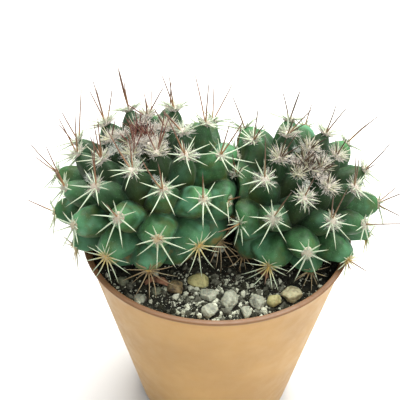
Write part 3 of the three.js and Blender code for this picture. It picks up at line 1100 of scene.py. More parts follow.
    def husks(self) -> Surface:
        """Dried flower remains under the heads: shrivelled, bent and wrinkled little tubes.

        Each is a sphere stretched to the given length, width and height, wrinkled by waves,
        narrowed towards one end and bent down at both ends by the square of the distance from
        its middle.

        Returns:
            All of them, with the value tint.
        """
        ways, faces = icosphere(3)
        made = []
        for index, spec in enumerate(HUSKS):
            wrinkles = 0.16 * waves(ways * np.array([0.6, 2.0, 2.0]), 1.0, 500 + index)
            size = np.array([spec.length, spec.width, 0.6 * spec.width]) / 2.0
            local = ways * (1.0 + wrinkles)[:, None] * size
            local[:, 2] += 0.25 * spec.width - 0.12 * local[:, 0] ** 2
            local[:, 1] *= 1.0 - 0.5 * rising(0.0, spec.length / 2.0, local[:, 0])
            base = self.height(spec.x, spec.y) + self.husk_lift
            points = local @ spun(math.radians(spec.heading)) + np.array([spec.x, spec.y, base])
            made.append(Surface(points, [faces], {"tint": 0.5 + 0.5 * ways[:, 0]}))
        return Surface.joined(made)

    def fibres(self, count: int, seed: int) -> Strands:
        """Dark root hairs and peat fibres that lie on the soil, half of them at the front.

        Args:
            count: number of fibres.
            seed: seed of their places and shapes.

        Returns:
            The fibres.
        """
        rng = np.random.default_rng(seed)
        radius = self.reach(self.fibre_room) * np.sqrt(rng.uniform(0.0, 1.0, count))
        angle = rng.uniform(0.0, math.tau, count)
        front = rng.uniform(0.0, 1.0, count) < 0.5
        angle = np.where(front, -math.pi / 2.0 + rng.normal(0.0, 0.5, count), angle)
        x, y = radius * np.cos(angle), radius * np.sin(angle)
        way = rng.uniform(0.0, math.tau, count)
        ways = unit(np.stack((np.cos(way), np.sin(way), rng.uniform(0.0, 0.25, count)), axis=1))
        lengths = rng.uniform(*self.fibre_length, count)
        bends = rng.normal(size=(count, 3)) * (0.2 * lengths)[:, None]
        bends[:, 2] = -0.15 * lengths
        roots = np.stack((x, y, self.crumbled(x, y) + self.fibre_lift), axis=1)
        tint = rng.uniform(0.0, 1.0, count)
        radii = rng.uniform(*self.fibre_radius, count)
        return Strands(roots, ways, lengths, radii, bends, tint, tint)

    def build(self) -> None:
        """Makes the soil, all that lies loose on it and its stones."""
        peat = GroundFinish("peat", dark="0a0c08", light="1f2018", dust="6f6f5e").material()
        soil = self.soil().piece("soil_body", peat, "potting_mix")
        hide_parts("soil")
        crumb = GroundFinish("peat_crumb", dark="0e0f0a", light="292a1e", dust="686853")
        grit = GroundFinish("perlite", dark="c4c7b5", light="969a86", dust="d2d5c4", roughness=0.85)
        chip = GroundFinish("grey_chips", dark="626356", light="3c3d33", dust="85877a", roughness=0.85)
        fibre = GroundFinish("peat_fibre", dark="0c0a07", light="3a2c1c", dust="5a4a34", roughness=0.9)
        husk = GroundFinish("dried_husk", dark="4f3626", light="84604a", dust="a88a72", roughness=0.7)
        grain = icosphere(0)
        crumbs = self.scatter(2200, (0.2, 0.8), grain, seed=301, lift=0.1)
        fine = self.scatter(3200, (0.09, 0.36), octahedron(), seed=302, lift=0.4, heaped=0.5)
        coarse = self.scatter(520, (0.2, 0.85), grain, seed=305, lift=0.25, heaped=0.62)
        chips = self.scatter(420, (0.3, 1.0), grain, seed=303, lift=0.2, heaped=0.5)
        fibres = self.fibres(420, seed=304).surface(sides=3, rings=4, taper=0.4)
        for name, surface, finish, slot, smooth in (
            ("peat_crumbs", crumbs, crumb, "potting_mix", False),
            ("perlite_grit", Surface.joined([fine, coarse]), grit, "pebble_stone", False),
            ("grey_chips", chips, chip, "pebble_stone", False),
            ("peat_fibres", fibres, fibre, "potting_mix", True),
            ("dried_husks", self.husks(), husk, "potting_mix", True),
        ):
            surface.piece(name, finish.material(), slot, smooth)
        finishes = {kind: StoneFinish(kind).material() for kind in Stone}
        for index, spec in enumerate(PEBBLES):
            label = f"{index + 1:02d}"
            stone = self.pebble(index, spec).piece(f"stone_{label}", finishes[spec.kind], "pebble_stone")
            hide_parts(f"pebble_{label}")


@dataclass
class Tubercles(Rows):
    """The tubercles of a head, one row each. Places and tangents are in the head's own frame."""

    local: Array
    up: Array
    side: Array
    polar: Array
    reach: Array
    height: Array
    blunt: Array
    tint: Array


@dataclass
class CactusHead:
    """One head of the plant: an oblate body set with tubercles along one spiral, and its root.

    The sign is 1 for the head at the left of the contact face and -1 for the one at its right.
    The lean is how far the axis goes across and back for one up, and turns are degrees round it.
    The area is the skin of one grown tubercle, the neck the root's place and radius, and the
    crown the way that its hollow moves the growing point.
    """

    key: str
    sign: int
    centre: Triple
    equator: float
    pole: float
    lean: tuple[float, float]
    start_turn: float
    turn: float
    area: float
    crowding: float
    neck: Triple
    crown: Triple
    ground: Ground
    seed: int
    most_tubercles: int = 120
    spiral_end: float = 0.995
    tubercle_reach: float = 0.64
    steepness: float = 1.7
    tubercle_height: float = 8.6
    bluntness: float = 1.9
    young_slimness: float = 0.7
    keel: float = 1.35
    keel_edge: float = 0.5
    keel_scale: float = 0.94
    cleft_sharpness: float = 14.0
    deepest: float = 1.2
    last_live: float = 128.0
    crown_width: float = 38.0
    heart_drop: float = 0.3
    crown_drop: float = 1.1
    contact_x: float = 3.9
    contact_wave: float = 1.5
    contact_length: float = 11.0
    contact_softness: float = 1.8
    contact_zone: float = 6.0
    contact_fill: float = 0.55
    floor_softness: float = 2.6
    over_soil: float = 0.8
    over_rim: float = 0.55
    rim_ramp: float = 4.0
    droop_start: float = 2.0
    neck_depth: float = 13.0
    neck_top: float = 53.0
    neck_rings: int = 40
    neck_sides: int = 72
    swell: float = 0.1
    swell_length: float = 6.0
    dimple: float = 0.04
    dimple_length: float = 2.2
    cells: int = 118
    neighbour: "CactusHead | None" = None

    def __post_init__(self) -> None:
        """Works out the head's frame and its tubercles."""
        axis = unit(np.array([self.lean[0], self.lean[1], 1.0]))
        across = unit(np.array([1.0, 0.0, 0.0]) - axis[0] * axis)
        self.basis = np.stack((across, np.cross(axis, across), axis))
        self.size = np.array([self.equator, self.equator, self.pole])
        self.tubercles = self.spiral()

    def to_world(self, local: Array) -> Array:
        """Places of the head's own frame in the frame of the whole part."""
        return local @ self.basis + np.array(self.centre)

    def to_local(self, world: Array) -> Array:
        """Places of the whole part's frame in the head's own."""
        return (world - np.array(self.centre)) @ self.basis.T

    def spiral(self) -> Tubercles:
        """Sets the tubercles' tips along one spiral over the spheroid.

        Tip n has above it the skin area * (n - crowding * (1 - exp(-n / crowding))), so the young
        ones at the crown are packed closer. Each is turned from the last by the same angle. A
        tubercle reaches as far as the root of its own skin allows.

        Returns:
            The tubercles, from the crown down.
        """
        polar = np.linspace(0.0, math.pi, 721)
        middle = (polar[1:] + polar[:-1]) / 2.0
        slant = np.hypot(self.equator * np.cos(middle), self.pole * np.sin(middle)) * (polar[1] - polar[0])
        skin = np.concatenate([[0.0], np.cumsum(math.tau * self.equator * np.sin(middle) * slant)])
        number = np.arange(self.most_tubercles) + 0.5
        used = self.area * (number - self.crowding * (1.0 - np.exp(-number / self.crowding)))
        number = number[used < self.spiral_end * skin[-1]]
        theta = np.interp(used[:len(number)], skin, polar)
        phi = np.radians(self.start_turn + self.turn * (number - 0.5))
        flat = np.stack((np.cos(phi), np.sin(phi)), axis=1)
        local = np.column_stack((self.equator * np.sin(theta)[:, None] * flat, self.pole * np.cos(theta)))
        down = np.column_stack((self.equator * np.cos(theta)[:, None] * flat, -self.pole * np.sin(theta)))
        side = np.column_stack((-flat[:, 1], flat[:, 0], np.zeros(len(number))))
        reach = self.tubercle_reach * np.sqrt(self.area * (1.0 - np.exp(-number / self.crowding)))
        degrees = np.degrees(theta)
        grown = 0.45 + 0.55 * rising(0.0, 34.0, degrees)
        buried = 1.0 - 0.55 * rising(self.last_live - 14.0, self.last_live + 8.0, degrees)
        height = np.minimum(self.tubercle_height * grown * buried, self.steepness * reach)
        blunt = self.bluntness - self.young_slimness * falling(40.0, 80.0, degrees)
        tint = np.random.default_rng(self.seed).uniform(0.0, 1.0, len(number))
        return Tubercles(
            local + self.sunken(degrees), unit(-down), side, degrees, reach, height, blunt, tint)

    def heart(self, local: Array) -> Array:
        """The place on the axis from which a point's tubercle grows: lower for upper ones.

        Near the crown it lies far down, so those tubercles stand upright like pegs. From 80
        degrees off the axis it lies near the centre, so those tubercles point straight out.

        Args:
            local: points in the head's frame.

        Returns:
            One place for each point, in the head's frame.
        """
        flat = np.hypot(local[:, 0], local[:, 1]) / self.equator
        polar = np.degrees(np.arctan2(flat, local[:, 2] / self.pole))
        drop = self.heart_drop + self.crown_drop * falling(15.0, 80.0, polar)
        return np.column_stack((np.zeros((len(local), 2)), -drop * self.pole))

    def sunken(self, polar: Array) -> Array:
        """How far the crown's hollow moves a point of the spheroid, by its polar angle."""
        return falling(0.0, self.crown_width, polar)[:, None] * np.array(self.crown)

    def relief(self, local: Array) -> tuple[Array, Array]:
        """How far the skin lies below the spheroid of the tips.

        Every tubercle would sink the skin by its height * (distance / reach) ** bluntness. The
        distance is measured with a norm between round and diamond, which gives each tubercle four
        soft keels. The soft smallest of these depths is taken, so the tubercles meet in clefts.

        Args:
            local: points on the spheroid, in the head's frame.

        Returns:
            The depth at each point, and the number of the tubercle that the point belongs to.
        """
        t = self.tubercles
        rise = local @ t.up.T - dot(t.local, t.up)
        shift = local @ t.side.T - dot(t.local, t.side)
        square = dot(local, local)[:, None] + dot(t.local, t.local) - 2.0 * local @ t.local.T
        edge, half = self.keel_edge, self.keel / 2.0
        powers = (rise ** 2 + edge ** 2) ** half + (shift ** 2 + edge ** 2) ** half
        evened = powers ** (1.0 / self.keel) - edge * 2.0 ** (1.0 / self.keel)
        flat = (self.keel_scale * evened) ** 2
        distance = np.sqrt(np.maximum(flat + square - rise ** 2 - shift ** 2, 0.0))
        depth = t.height * (distance / t.reach) ** t.blunt
        nearest = depth.argmin(axis=1)
        sharp = self.cleft_sharpness
        soft = -np.log(np.exp(-sharp * np.minimum(depth, 40.0)).sum(axis=1)) / sharp
        return np.clip(soft, 0.0, self.deepest * t.height[nearest]), nearest

    def lowered(self, local: Array, depth: Array) -> Array:
        """Moves points towards the heart of their tubercle, and less far between the heads.

        Args:
            local: points on the spheroid, in the head's frame.
            depth: how far each would move.

        Returns:
            The moved points, in the head's frame.
        """
        away = self.own_side(self.to_world(local))
        share = 1.0 - self.contact_fill * falling(0.0, self.contact_zone, away)
        return local + unit(self.heart(local) - local) * (depth * share)[:, None]

    def contact_face(self, y: Array, z: Array) -> Array:
        """Where the two heads meet: a wavy upright face, because tubercles interlock."""
        wave = math.tau / self.contact_length
        return self.contact_x + self.contact_wave * np.sin(wave * y) * np.sin(wave * z)

    def own_side(self, world: Array) -> Array:
        """How far points lie on this head's side of the contact face."""
        return self.sign * (self.contact_face(world[..., 1], world[..., 2]) - world[..., 0])

    def lowest(self, x: Array, y: Array) -> Array:
        """The lowest height that the body may reach: over soil, over the rim, drooping outside.

        Args:
            x: places across, in the part's frame.
            y: places from front to back.

        Returns:
            The height at each place.
        """
        pot = self.ground.pot
        radius = np.hypot(x, y)
        wall = pot.inner_radius(self.ground.level)
        low = self.ground.level + self.over_soil
        droop = np.maximum(0.0, radius - pot.lip_radius - self.droop_start)
        return low + (pot.height + self.over_rim - low) * rising(wall - self.rim_ramp, wall, radius) - droop

    def pressed(self, world: Array) -> Array:
        """Flattens the head where it leans on its neighbour, and over soil and rim.

        Args:
            world: points of the head before it is pressed, in the part's frame.

        Returns:
            The same points, squeezed from the contact face and then from below.
        """
        face = self.contact_face(world[:, 1], world[:, 2]) - self.sign * self.ground.clearance / 2.0
        x = face - self.sign * squeeze(self.sign * (face - world[:, 0]), self.contact_softness)
        floor = self.lowest(x, world[:, 1])
        z = floor + squeeze(world[:, 2] - floor, self.floor_softness)
        return np.column_stack((x, world[:, 1], z))

    def skin(self) -> Surface:
        """The head's skin: a sphere of even quads laid on the spheroid, lowered and pressed.

        Returns:
            The skin, with the values relief (0 at a tip, 1 in a cleft), age (0 at the crown, 1 at
            the foot), tint (one for each tubercle) and under (1 on the side away from the crown).
        """
        ways, faces = cube_sphere(self.cells)
        polar = np.degrees(np.arccos(np.clip(ways[:, 2], -1.0, 1.0)))
        local = ways * self.size + self.sunken(polar)
        depth, nearest = self.relief(local)
        swell = self.swell * waves(local, self.swell_length, self.seed + 3)
        uneven = swell + self.dimple * waves(local, self.dimple_length, self.seed + 4)
        t = self.tubercles.kept(nearest)
        share = depth / t.height
        lowered = self.lowered(local, depth + uneven * rising(0.0, 0.15, share))
        world = self.pressed(self.to_world(lowered))
        self.tree = BVHTree.FromPolygons(world.tolist(), faces.tolist())
        values = {
            "relief": np.clip(share, 0.0, 1.0), "age": rising(20.0, self.last_live, polar),
            "tint": t.tint, "under": rising(0.1, 0.9, dot(t.local - local, t.up) / t.reach),
        }
        return Surface(world, [faces], values)

    def root(self) -> Surface:
        """The thick root: a tapered, wrinkled stump from inside the body down into the soil.

        Returns:
            The stump, with the same values as the skin.
        """
        x, y, radius = self.neck
        level = self.ground.level
        foot = level - self.neck_depth
        heights = np.linspace(foot, self.neck_top, self.neck_rings)
        share = np.interp(heights, [foot, foot + self.neck_depth * 0.45, level - 1.0], [0.45, 0.8, 1.0])
        rings = lathe(radius * share, heights, self.neck_sides)
        wrinkle = 1.0 - 0.012 * np.abs(waves(rings * np.array([1.0, 1.0, 0.3]), 3.0, self.seed + 20))
        rings[..., :2] *= wrinkle[..., None]
        stump = turned_body(rings, foot, self.neck_top)
        stump.points += np.array([x, y, 0.0])
        levels = {"relief": 0.6, "age": 1.0, "tint": 0.3, "under": 0.0}
        stump.values = {name: np.full(len(stump.points), level) for name, level in levels.items()}
        return stump

    def build(self, finishes: dict[str, bpy.types.Material]) -> None:
        """Makes the head's skin and root, in place of the plain head.

        Args:
            finishes: the plant's materials by name.
        """
        for name, surface in (("skin", self.skin()), ("root", self.root())):
            piece = surface.piece(f"{self.key}_{name}", finishes["flesh"], "cactus_flesh")
            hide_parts(f"head_{self.key}")


def worn_by(polar: Array) -> Array:
    """Wear of spines and wool at polar angles, from 0 at the crown to 1 at the foot."""
    return rising(15.0, 125.0, polar)


@dataclass
class Areoles(Rows):
    """Where spines and wool stand, one row each, in the frame of the whole part."""

    place: Array
    outward: Array
    up: Array
    side: Array
    polar: Array

    def wear(self) -> Array:
        """How worn their spines and wool are, from 0 at the crown to 1 at the foot."""
        return worn_by(self.polar)

    def along(self, around: Array) -> Array:
        """Ways along the skin at angles from up towards the side, one angle for each row."""
        return self.up * np.cos(around)[:, None] + self.side * np.sin(around)[:, None]


@dataclass
class Tufts(Rows):
    """Tufts of wool, one row each: place, outward way, half width, height and age."""

    place: Array
    outward: Array
    wide: Array
    tall: Array
    age: Array


@dataclass(frozen=True)
class SpineHabit:
    """How one head's spines grow: their numbers, lengths, radii, shares, and lifts in degrees."""

    lower: float
    upper: float
    central: float
    central_share: float
    young_length: float
    young_count: int
    central_finish: str
    radials: int = 9
    more_radials: int = 4
    second_share: float = 0.6
    lift: float = 18.0
    young_lift: float = 32.0
    young_shorter: float = 0.42
    radial_radius: float = 0.225
    bristle_radius: float = 0.1
    central_radius: float = 0.175
    young_radius: float = 0.115
    bristles: int = 18
    bristle_length: float = 1.3
    young_bristle: float = 1.5
    bristle_share: float = 0.35


@dataclass(frozen=True)
class WoolHabit:
    """How wool grows: the polar angles over which it ages, sizes of tufts, numbers of hairs.

    Pads are the felt cushions, tufts the hairs that stand on them, fluff the longer hairs of the
    young areoles, and axils the wool in the clefts, whose sizes are shares of a random one.
    """

    ageing: tuple[float, float] = (8.0, 45.0)
    ripening: tuple[float, float] = (30.0, 52.0)
    pad_width: float = 1.2
    pad_height: float = 0.4
    tuft_width: float = 1.15
    tuft_length: float = 0.72
    young_longer: float = 1.1
    fluff_width: float = 1.75
    fluff_length: float = 1.55
    axil_size: tuple[float, float] = (0.45, 0.7)
    axil_width: float = 1.05
    axil_length: float = 1.3
    axil_pad: tuple[float, float] = (0.42, 0.16)
    hair_radius: float = 0.048
    tuft_hairs: int = 78
    fluff_hairs: int = 110


@dataclass(frozen=True)
class Room:
    """How far spines keep from what is round them, and how they are turned to keep so far.

    Probes are the places along a spine that are looked at, turns and step how often and how far
    it is turned towards its way of escape, and shares the lengths that are tried in turn.
    """

    skin: float = 0.02
    wall: float = 0.8
    soil: float = 0.5
    rim: float = 0.3
    lip: float = 0.7
    stone: float = 0.5
    face: float = 0.3
    neighbour: float = 1.5
    probes: tuple[float, ...] = (0.3, 0.5, 0.7, 0.85, 1.0)
    shares: tuple[float, ...] = (1.0, 0.7)
    turns: int = 9
    step: float = 0.1


@dataclass
class Coat:
    """The spines and wool that one head wears. The head is built before its coat.

    The tangle is the place of the crowded young spines at the growing point, seen from above, and
    the axil share is the share of the older clefts that hold wool.
    """

    head: CactusHead
    habit: SpineHabit
    tangle: tuple[float, float]
    axil_share: float
    woolly: WoolHabit = WoolHabit()
    room: Room = Room()
    tangle_core: float = 2.3
    tangle_edge: float = 5.6
    old_below: float = 53.6
    old_polar: float = 92.0
    last_central: float = 96.0

    def __post_init__(self) -> None:
        """Starts the coat's own random draws."""
        self.rng = np.random.default_rng(self.head.seed + 100)

    def above_skin(self, points: Array) -> Array:
        """Whether points lie outside the head's own skin, judged by its nearest face.

        Args:
            points: places in the part's frame, shape (..., 3).

        Returns:
            One truth value for each point.
        """
        found = [self.head.tree.find_nearest(place)[:2] for place in points.reshape(-1, 3).tolist()]
        spots, normals = (np.array([tuple(p[k]) for p in found]).reshape(points.shape) for k in (0, 1))
        return dot(points - spots, normals) > self.room.skin

    def areoles(self) -> Areoles:
        """Finds where spines and wool stand.

        An areole is the pressed tip of a live tubercle. Outward leads away from the tubercle's
        heart, up towards the crown at a right angle to it, and side at a right angle to both.

        Returns:
            The areoles, from the crown down.
        """
        head, t = self.head, self.head.tubercles
        place = head.pressed(head.to_world(t.local))
        outward = unit(place - head.to_world(head.heart(t.local)))
        crown = head.to_world(np.array([[0.0, 0.0, head.pole]]) + head.sunken(np.zeros(1)))[0]
        toward = crown - place
        up = unit(toward - outward * dot(toward, outward)[:, None])
        return Areoles(place, outward, up, np.cross(outward, up), t.polar).kept(t.polar < head.last_live)

    def is_old(self, areoles: Areoles) -> Array:
        """Whether each areole belongs to the oldest ones at the foot, near the soil."""
        return (areoles.polar > self.old_polar) | (areoles.place[:, 2] < self.old_below)

    def in_tangle(self, areoles: Areoles) -> Array:
        """How far each areole belongs to the tangle of young spines at the growing point.

        Args:
            areoles: areoles of the head.

        Returns:
            One number for each, from 1 in the tangle's core to 0 beyond its edge.
        """
        x, y, _ = areoles.place.T
        off = np.hypot(x - self.tangle[0], y - self.tangle[1])
        return falling(self.tangle_core, self.tangle_edge, off)

    def is_free(self, points: Array) -> Array:
        """Whether points keep clear of soil, rim, stones and the other head.

        A stone is an ellipsoid here. A point beyond the contact face is free where it lies
        outside the other head's spheroid, grown by the room that is kept.

        Args:
            points: places in the part's frame, shape (..., 3).

        Returns:
            One truth value for each point.
        """
        head, room = self.head, self.room
        ground, pot, other = head.ground, head.ground.pot, head.neighbour
        x, y, z = np.moveaxis(points, -1, 0)
        radius = np.hypot(x, y)
        inside = radius < pot.inner_radius(ground.level) - room.wall
        floor = np.where(inside, ground.height(x, y) + room.soil, pot.height + room.rim)
        free = (radius >= pot.lip_radius + room.lip) | (z >= floor)
        for spec in PEBBLES:
            off = points - ground.pebble_centre(spec)
            free &= np.linalg.norm(off / (spec.half() + room.stone), axis=-1) > 1.0
        beyond = np.linalg.norm(other.to_local(points) / (other.size + room.neighbour), axis=-1) > 1.0
        return free & ((head.own_side(points) > room.face) | beyond)

    def cleared(self, spines: Strands, outward: Array) -> Strands:
        """Turns spines that would meet something outwards and up, then shortens them.

        Args:
            spines: the spines as they would grow.
            outward: the outward way of each spine's areole.

        Returns:
            The spines that find a free way.
        """
        head, room, probes = self.head, self.room, np.array(self.room.probes)
        beside = falling(3.0, 8.0, np.abs(head.own_side(spines.roots)))[:, None]
        open_side = np.where(spines.roots[:, 1:2] < head.centre[1], -1.0, 1.0)
        ones = np.ones_like(open_side)
        aside = np.concatenate([-0.2 * head.sign * ones, open_side, 0.0 * ones], axis=1)
        escape = unit(outward + 0.8 * UP + aside * beside)
        ways, lengths = spines.ways.copy(), spines.lengths.copy()
        settled = np.zeros(len(ways), dtype=bool)
        for share in room.shares:
            for turn in range(room.turns):
                way = unit(spines.ways + room.step * turn * (escape - spines.ways))
                reach = spines.lengths * share
                line = spines.roots[:, None] + way[:, None] * (reach[:, None] * probes)[..., None]
                line = line + spines.bends[:, None] * (probes ** 2)[:, None]
                free = self.is_free(line).all(axis=1) & ~settled
                free[free] = self.above_skin(line[free]).all(axis=1)
                ways[free], lengths[free] = way[free], reach[free]
                settled |= free
        return replace(spines, ways=ways, lengths=lengths).kept(settled)

    def stars(self, areoles: Areoles, old: bool) -> Strands:
        """Stars of pale radial spines, long below and short above, that lie nearly flat.

        Args:
            areoles: where they stand.
            old: whether these are the oldest areoles, whose stars are fuller, thinner and bent.

        Returns:
            The spines, clear of all that is round them.
        """
        habit, rng = self.habit, self.rng
        each, count = habit.radials + habit.more_radials * old, len(areoles.polar)
        many = areoles.repeated(each)
        total = each * count
        twist = np.repeat(rng.uniform(-0.3, 0.3, count), each)
        around = np.tile((np.arange(each) + 0.5) * math.tau / each, count) + twist
        around = around + rng.normal(0.0, 0.09, total)
        flat = many.along(around)
        young = falling(12.0, 44.0, many.polar)
        lift = np.radians(habit.lift + habit.young_lift * young) + rng.normal(0.0, 0.1, total)
        lift = lift[:, None]
        ways = flat * np.cos(lift) + many.outward * np.sin(lift)
        low = 0.5 - 0.5 * np.cos(around)
        size = np.repeat(rng.uniform(0.9, 1.08, count), each) * rng.uniform(0.84, 1.1, total)
        full = habit.upper + (habit.lower - habit.upper) * low
        lengths = full * size * (1.0 - habit.young_shorter * young)
        roots = many.place - many.outward * 0.12 + flat * 0.2
        radii = habit.radial_radius * rng.uniform(0.85, 1.1, total) * (1.0 - 0.3 * young)
        sideways = np.cross(ways, many.outward) * rng.normal(0.0, 0.05, total)[:, None]
        inward = many.outward * rng.uniform(0.0, 0.07, total)[:, None]
        bends = sideways * lengths[:, None] - inward * lengths[:, None]
        tint = rng.uniform(0.0, 1.0, total)
        age = np.maximum(many.wear(), 0.86 * old)
        thinned, bent = radii * (1.0 - 0.22 * old), bends * (1.0 + 1.6 * old)
        return self.cleared(Strands(roots, ways, lengths, thinned, bent, tint, age), many.outward)

    def bristles(self, areoles: Areoles) -> Strands:
        """Short fine white bristles that ring the younger areoles inside the radial spines.

        Args:
            areoles: where they stand.

        Returns:
            The bristles, fewer on older areoles.
        """
        habit, many = self.habit, areoles.repeated(self.habit.bristles)
        count = len(many.polar)
        young = falling(30.0, 75.0, many.polar)
        flat = many.along(self.rng.uniform(0.0, math.tau, count))
        ways = unit(flat + many.outward * self.rng.uniform(0.1, 1.3, (count, 1)))
        full = habit.bristle_length + habit.young_bristle * young
        lengths = full * self.rng.uniform(0.6, 1.1, count)
        bends = many.outward * (self.rng.uniform(-0.1, 0.15, count) * lengths)[:, None]
        tint = self.rng.uniform(0.0, 1.0, count)
        share = habit.bristle_share + (1.0 - habit.bristle_share) * young
        picked = self.rng.uniform(0.0, 1.0, count) < share
        radii = np.full(count, habit.bristle_radius)
        return Strands(many.place + flat * 0.3, ways, lengths, radii, bends, tint, many.wear()).kept(picked)

    def centrals(self, areoles: Areoles) -> Strands:
        """Longer brown central spines that point out and up, fewer low down and at the front.

        Args:
            areoles: where they stand.

        Returns:
            Up to three spines for each areole, clear of all that is round them.
        """
        habit = self.habit
        bundles = []
        fewer = 1.0 - 0.8 * rising(70.0, 94.0, areoles.polar)
        front = rising(0.25, 0.85, -areoles.outward[:, 1])
        for share, spread, thinned in (
            (habit.central_share, 0.1, 0.25), (habit.second_share, 0.35, 0.75),
            (0.7 * habit.second_share, 0.55, 0.75),
        ):
            crowd = share * (fewer * (1.1 - front * thinned))
            drawn = self.rng.uniform(0.0, 1.0, len(areoles.polar)) < crowd
            chosen = areoles.kept(drawn & (areoles.polar < self.last_central))
            count = len(chosen.polar)
            rise = self.rng.uniform(0.0, 0.9, (count, 1))
            lean = self.rng.normal(0.0, spread, (count, 1))
            ways = unit(chosen.outward + chosen.up * rise + chosen.side * lean)
            young = falling(8.0, 30.0, chosen.polar)
            lengths = habit.central * self.rng.uniform(0.55, 1.05, count) * (1.0 - 0.5 * young)
            bends = chosen.up * (self.rng.uniform(0.0, 0.12, count) * lengths)[:, None]
            bends = bends + chosen.side * (self.rng.normal(0.0, 0.05, count) * lengths)[:, None]
            roots = chosen.place - chosen.outward * 0.5
            radii, tint = np.full(count, habit.central_radius), self.rng.uniform(0.0, 1.0, count)
            bundle = Strands(roots, ways, lengths, radii, bends, tint, chosen.wear())
            bundles.append(self.cleared(bundle, chosen.outward))
        return Strands.joined(bundles)

    def crown_spines(self, areoles: Areoles) -> Strands:
        """Crowded upright young spines at the growing point.

        Args:
            areoles: all areoles of the head.

        Returns:
            The spines, fewer away from the growing point.
        """
        many = areoles.kept(self.in_tangle(areoles) > 0.0).repeated(self.habit.young_count)
        count = len(many.polar)
        flat = many.along(self.rng.uniform(0.0, math.tau, count))
        ways = unit(many.outward + flat * self.rng.uniform(0.15, 1.05, (count, 1)))
        lengths = self.habit.young_length * self.rng.uniform(0.35, 1.0, count)
        roots = many.place - many.outward * 0.5 + flat * 0.3
        bends = flat * (self.rng.uniform(-0.12, 0.05, count) * lengths)[:, None]
        tint = self.rng.uniform(0.0, 1.0, count)
        picked = self.rng.uniform(0.0, 1.0, count) < self.in_tangle(many)
        radii = np.full(count, self.habit.young_radius)
        return Strands(roots, ways, lengths, radii, bends, tint, np.zeros(count)).kept(picked)

    def felt(self, tufts: Tufts) -> Surface:
        """Small uneven cushions of felt: squashed spheres pushed in and out by waves.

        Args:
            tufts: the cushions, whose tall is half their height.

        Returns:
            All cushions as one surface, with the values along, tint and age.
        """
        ways, faces = icosphere(1)
        count = len(tufts.age)
        width = tufts.wide * self.rng.uniform(0.9, 1.12, count)
        size = np.stack((width, width, tufts.tall * self.rng.uniform(0.85, 1.15, count)), axis=1)
        apart = 7.0 * np.arange(count)[:, None, None]
        lumpy = ways * (1.0 + 0.15 * waves(ways + apart, 0.8, self.head.seed + 9))[..., None]
        side = unit(np.cross(tufts.outward, np.array([0.31, 0.9, 0.3])))
        frames = np.stack((side, np.cross(tufts.outward, side), tufts.outward), axis=1)
        points = (lumpy * size[:, None]) @ frames + tufts.place[:, None]
        values = {
            "along": np.zeros(count * len(ways)), "age": np.repeat(tufts.age, len(ways)),
            "tint": np.repeat(self.rng.uniform(0.0, 1.0, count), len(ways)),
        }
        return Surface(points.reshape(-1, 3), [copies(faces, count, len(ways))], values)

    def hairs(self, tufts: Tufts, each: int) -> Strands:
        """Short curly hairs that stand in tufts.

        Args:
            tufts: the tufts, whose tall is the mean length of their hairs.
            each: hairs to a tuft.

        Returns:
            All hairs as one bundle.
        """
        many, rng = tufts.repeated(each), self.rng
        count = len(many.age)
        off = unit(np.cross(many.outward, unit(rng.normal(size=(count, 3)))))
        share = np.sqrt(rng.uniform(0.0, 1.0, (count, 1)))
        flat = off * share
        roots = many.place + flat * many.wide[:, None] - many.outward * 0.1
        upright = many.outward * (1.15 - share * 0.55)
        ways = unit(upright + flat * 1.1 + 0.35 * rng.normal(size=(count, 3)))
        lengths = many.tall * rng.uniform(0.55, 1.25, count)
        bends = unit(rng.normal(size=(count, 3))) * (lengths * rng.uniform(0.1, 0.5, count))[:, None]
        tint = rng.uniform(0.0, 1.0, count)
        return Strands(roots, ways, lengths, np.full(count, self.woolly.hair_radius), bends, tint, many.age)

    def clefts(self) -> tuple[Array, Array, Array]:
        """Places for wool in the clefts: just above some tubercles, down on the skin.

        Returns:
            The places, the outward ways and the polar angle of each one's tubercle.
        """
        head, t = self.head, self.head.tubercles
        share = self.axil_share + (1.0 - self.axil_share) * falling(26.0, 34.0, t.polar)
        chosen = (self.rng.uniform(0.0, 1.0, len(t.polar)) < share) & (t.polar > 12.0) & (t.polar < 100.0)
        t = t.kept(chosen)
        raised = t.local + t.up * (0.86 * t.reach)[:, None]
        local = raised / np.linalg.norm(raised / head.size, axis=1, keepdims=True)
        depth, _ = head.relief(local)
        sunk = 0.35 + 0.37 * rising(20.0, 36.0, t.polar)
        place = head.pressed(head.to_world(head.lowered(local, depth * sunk)))
        return place, unit(place - head.to_world(head.heart(local))), t.polar

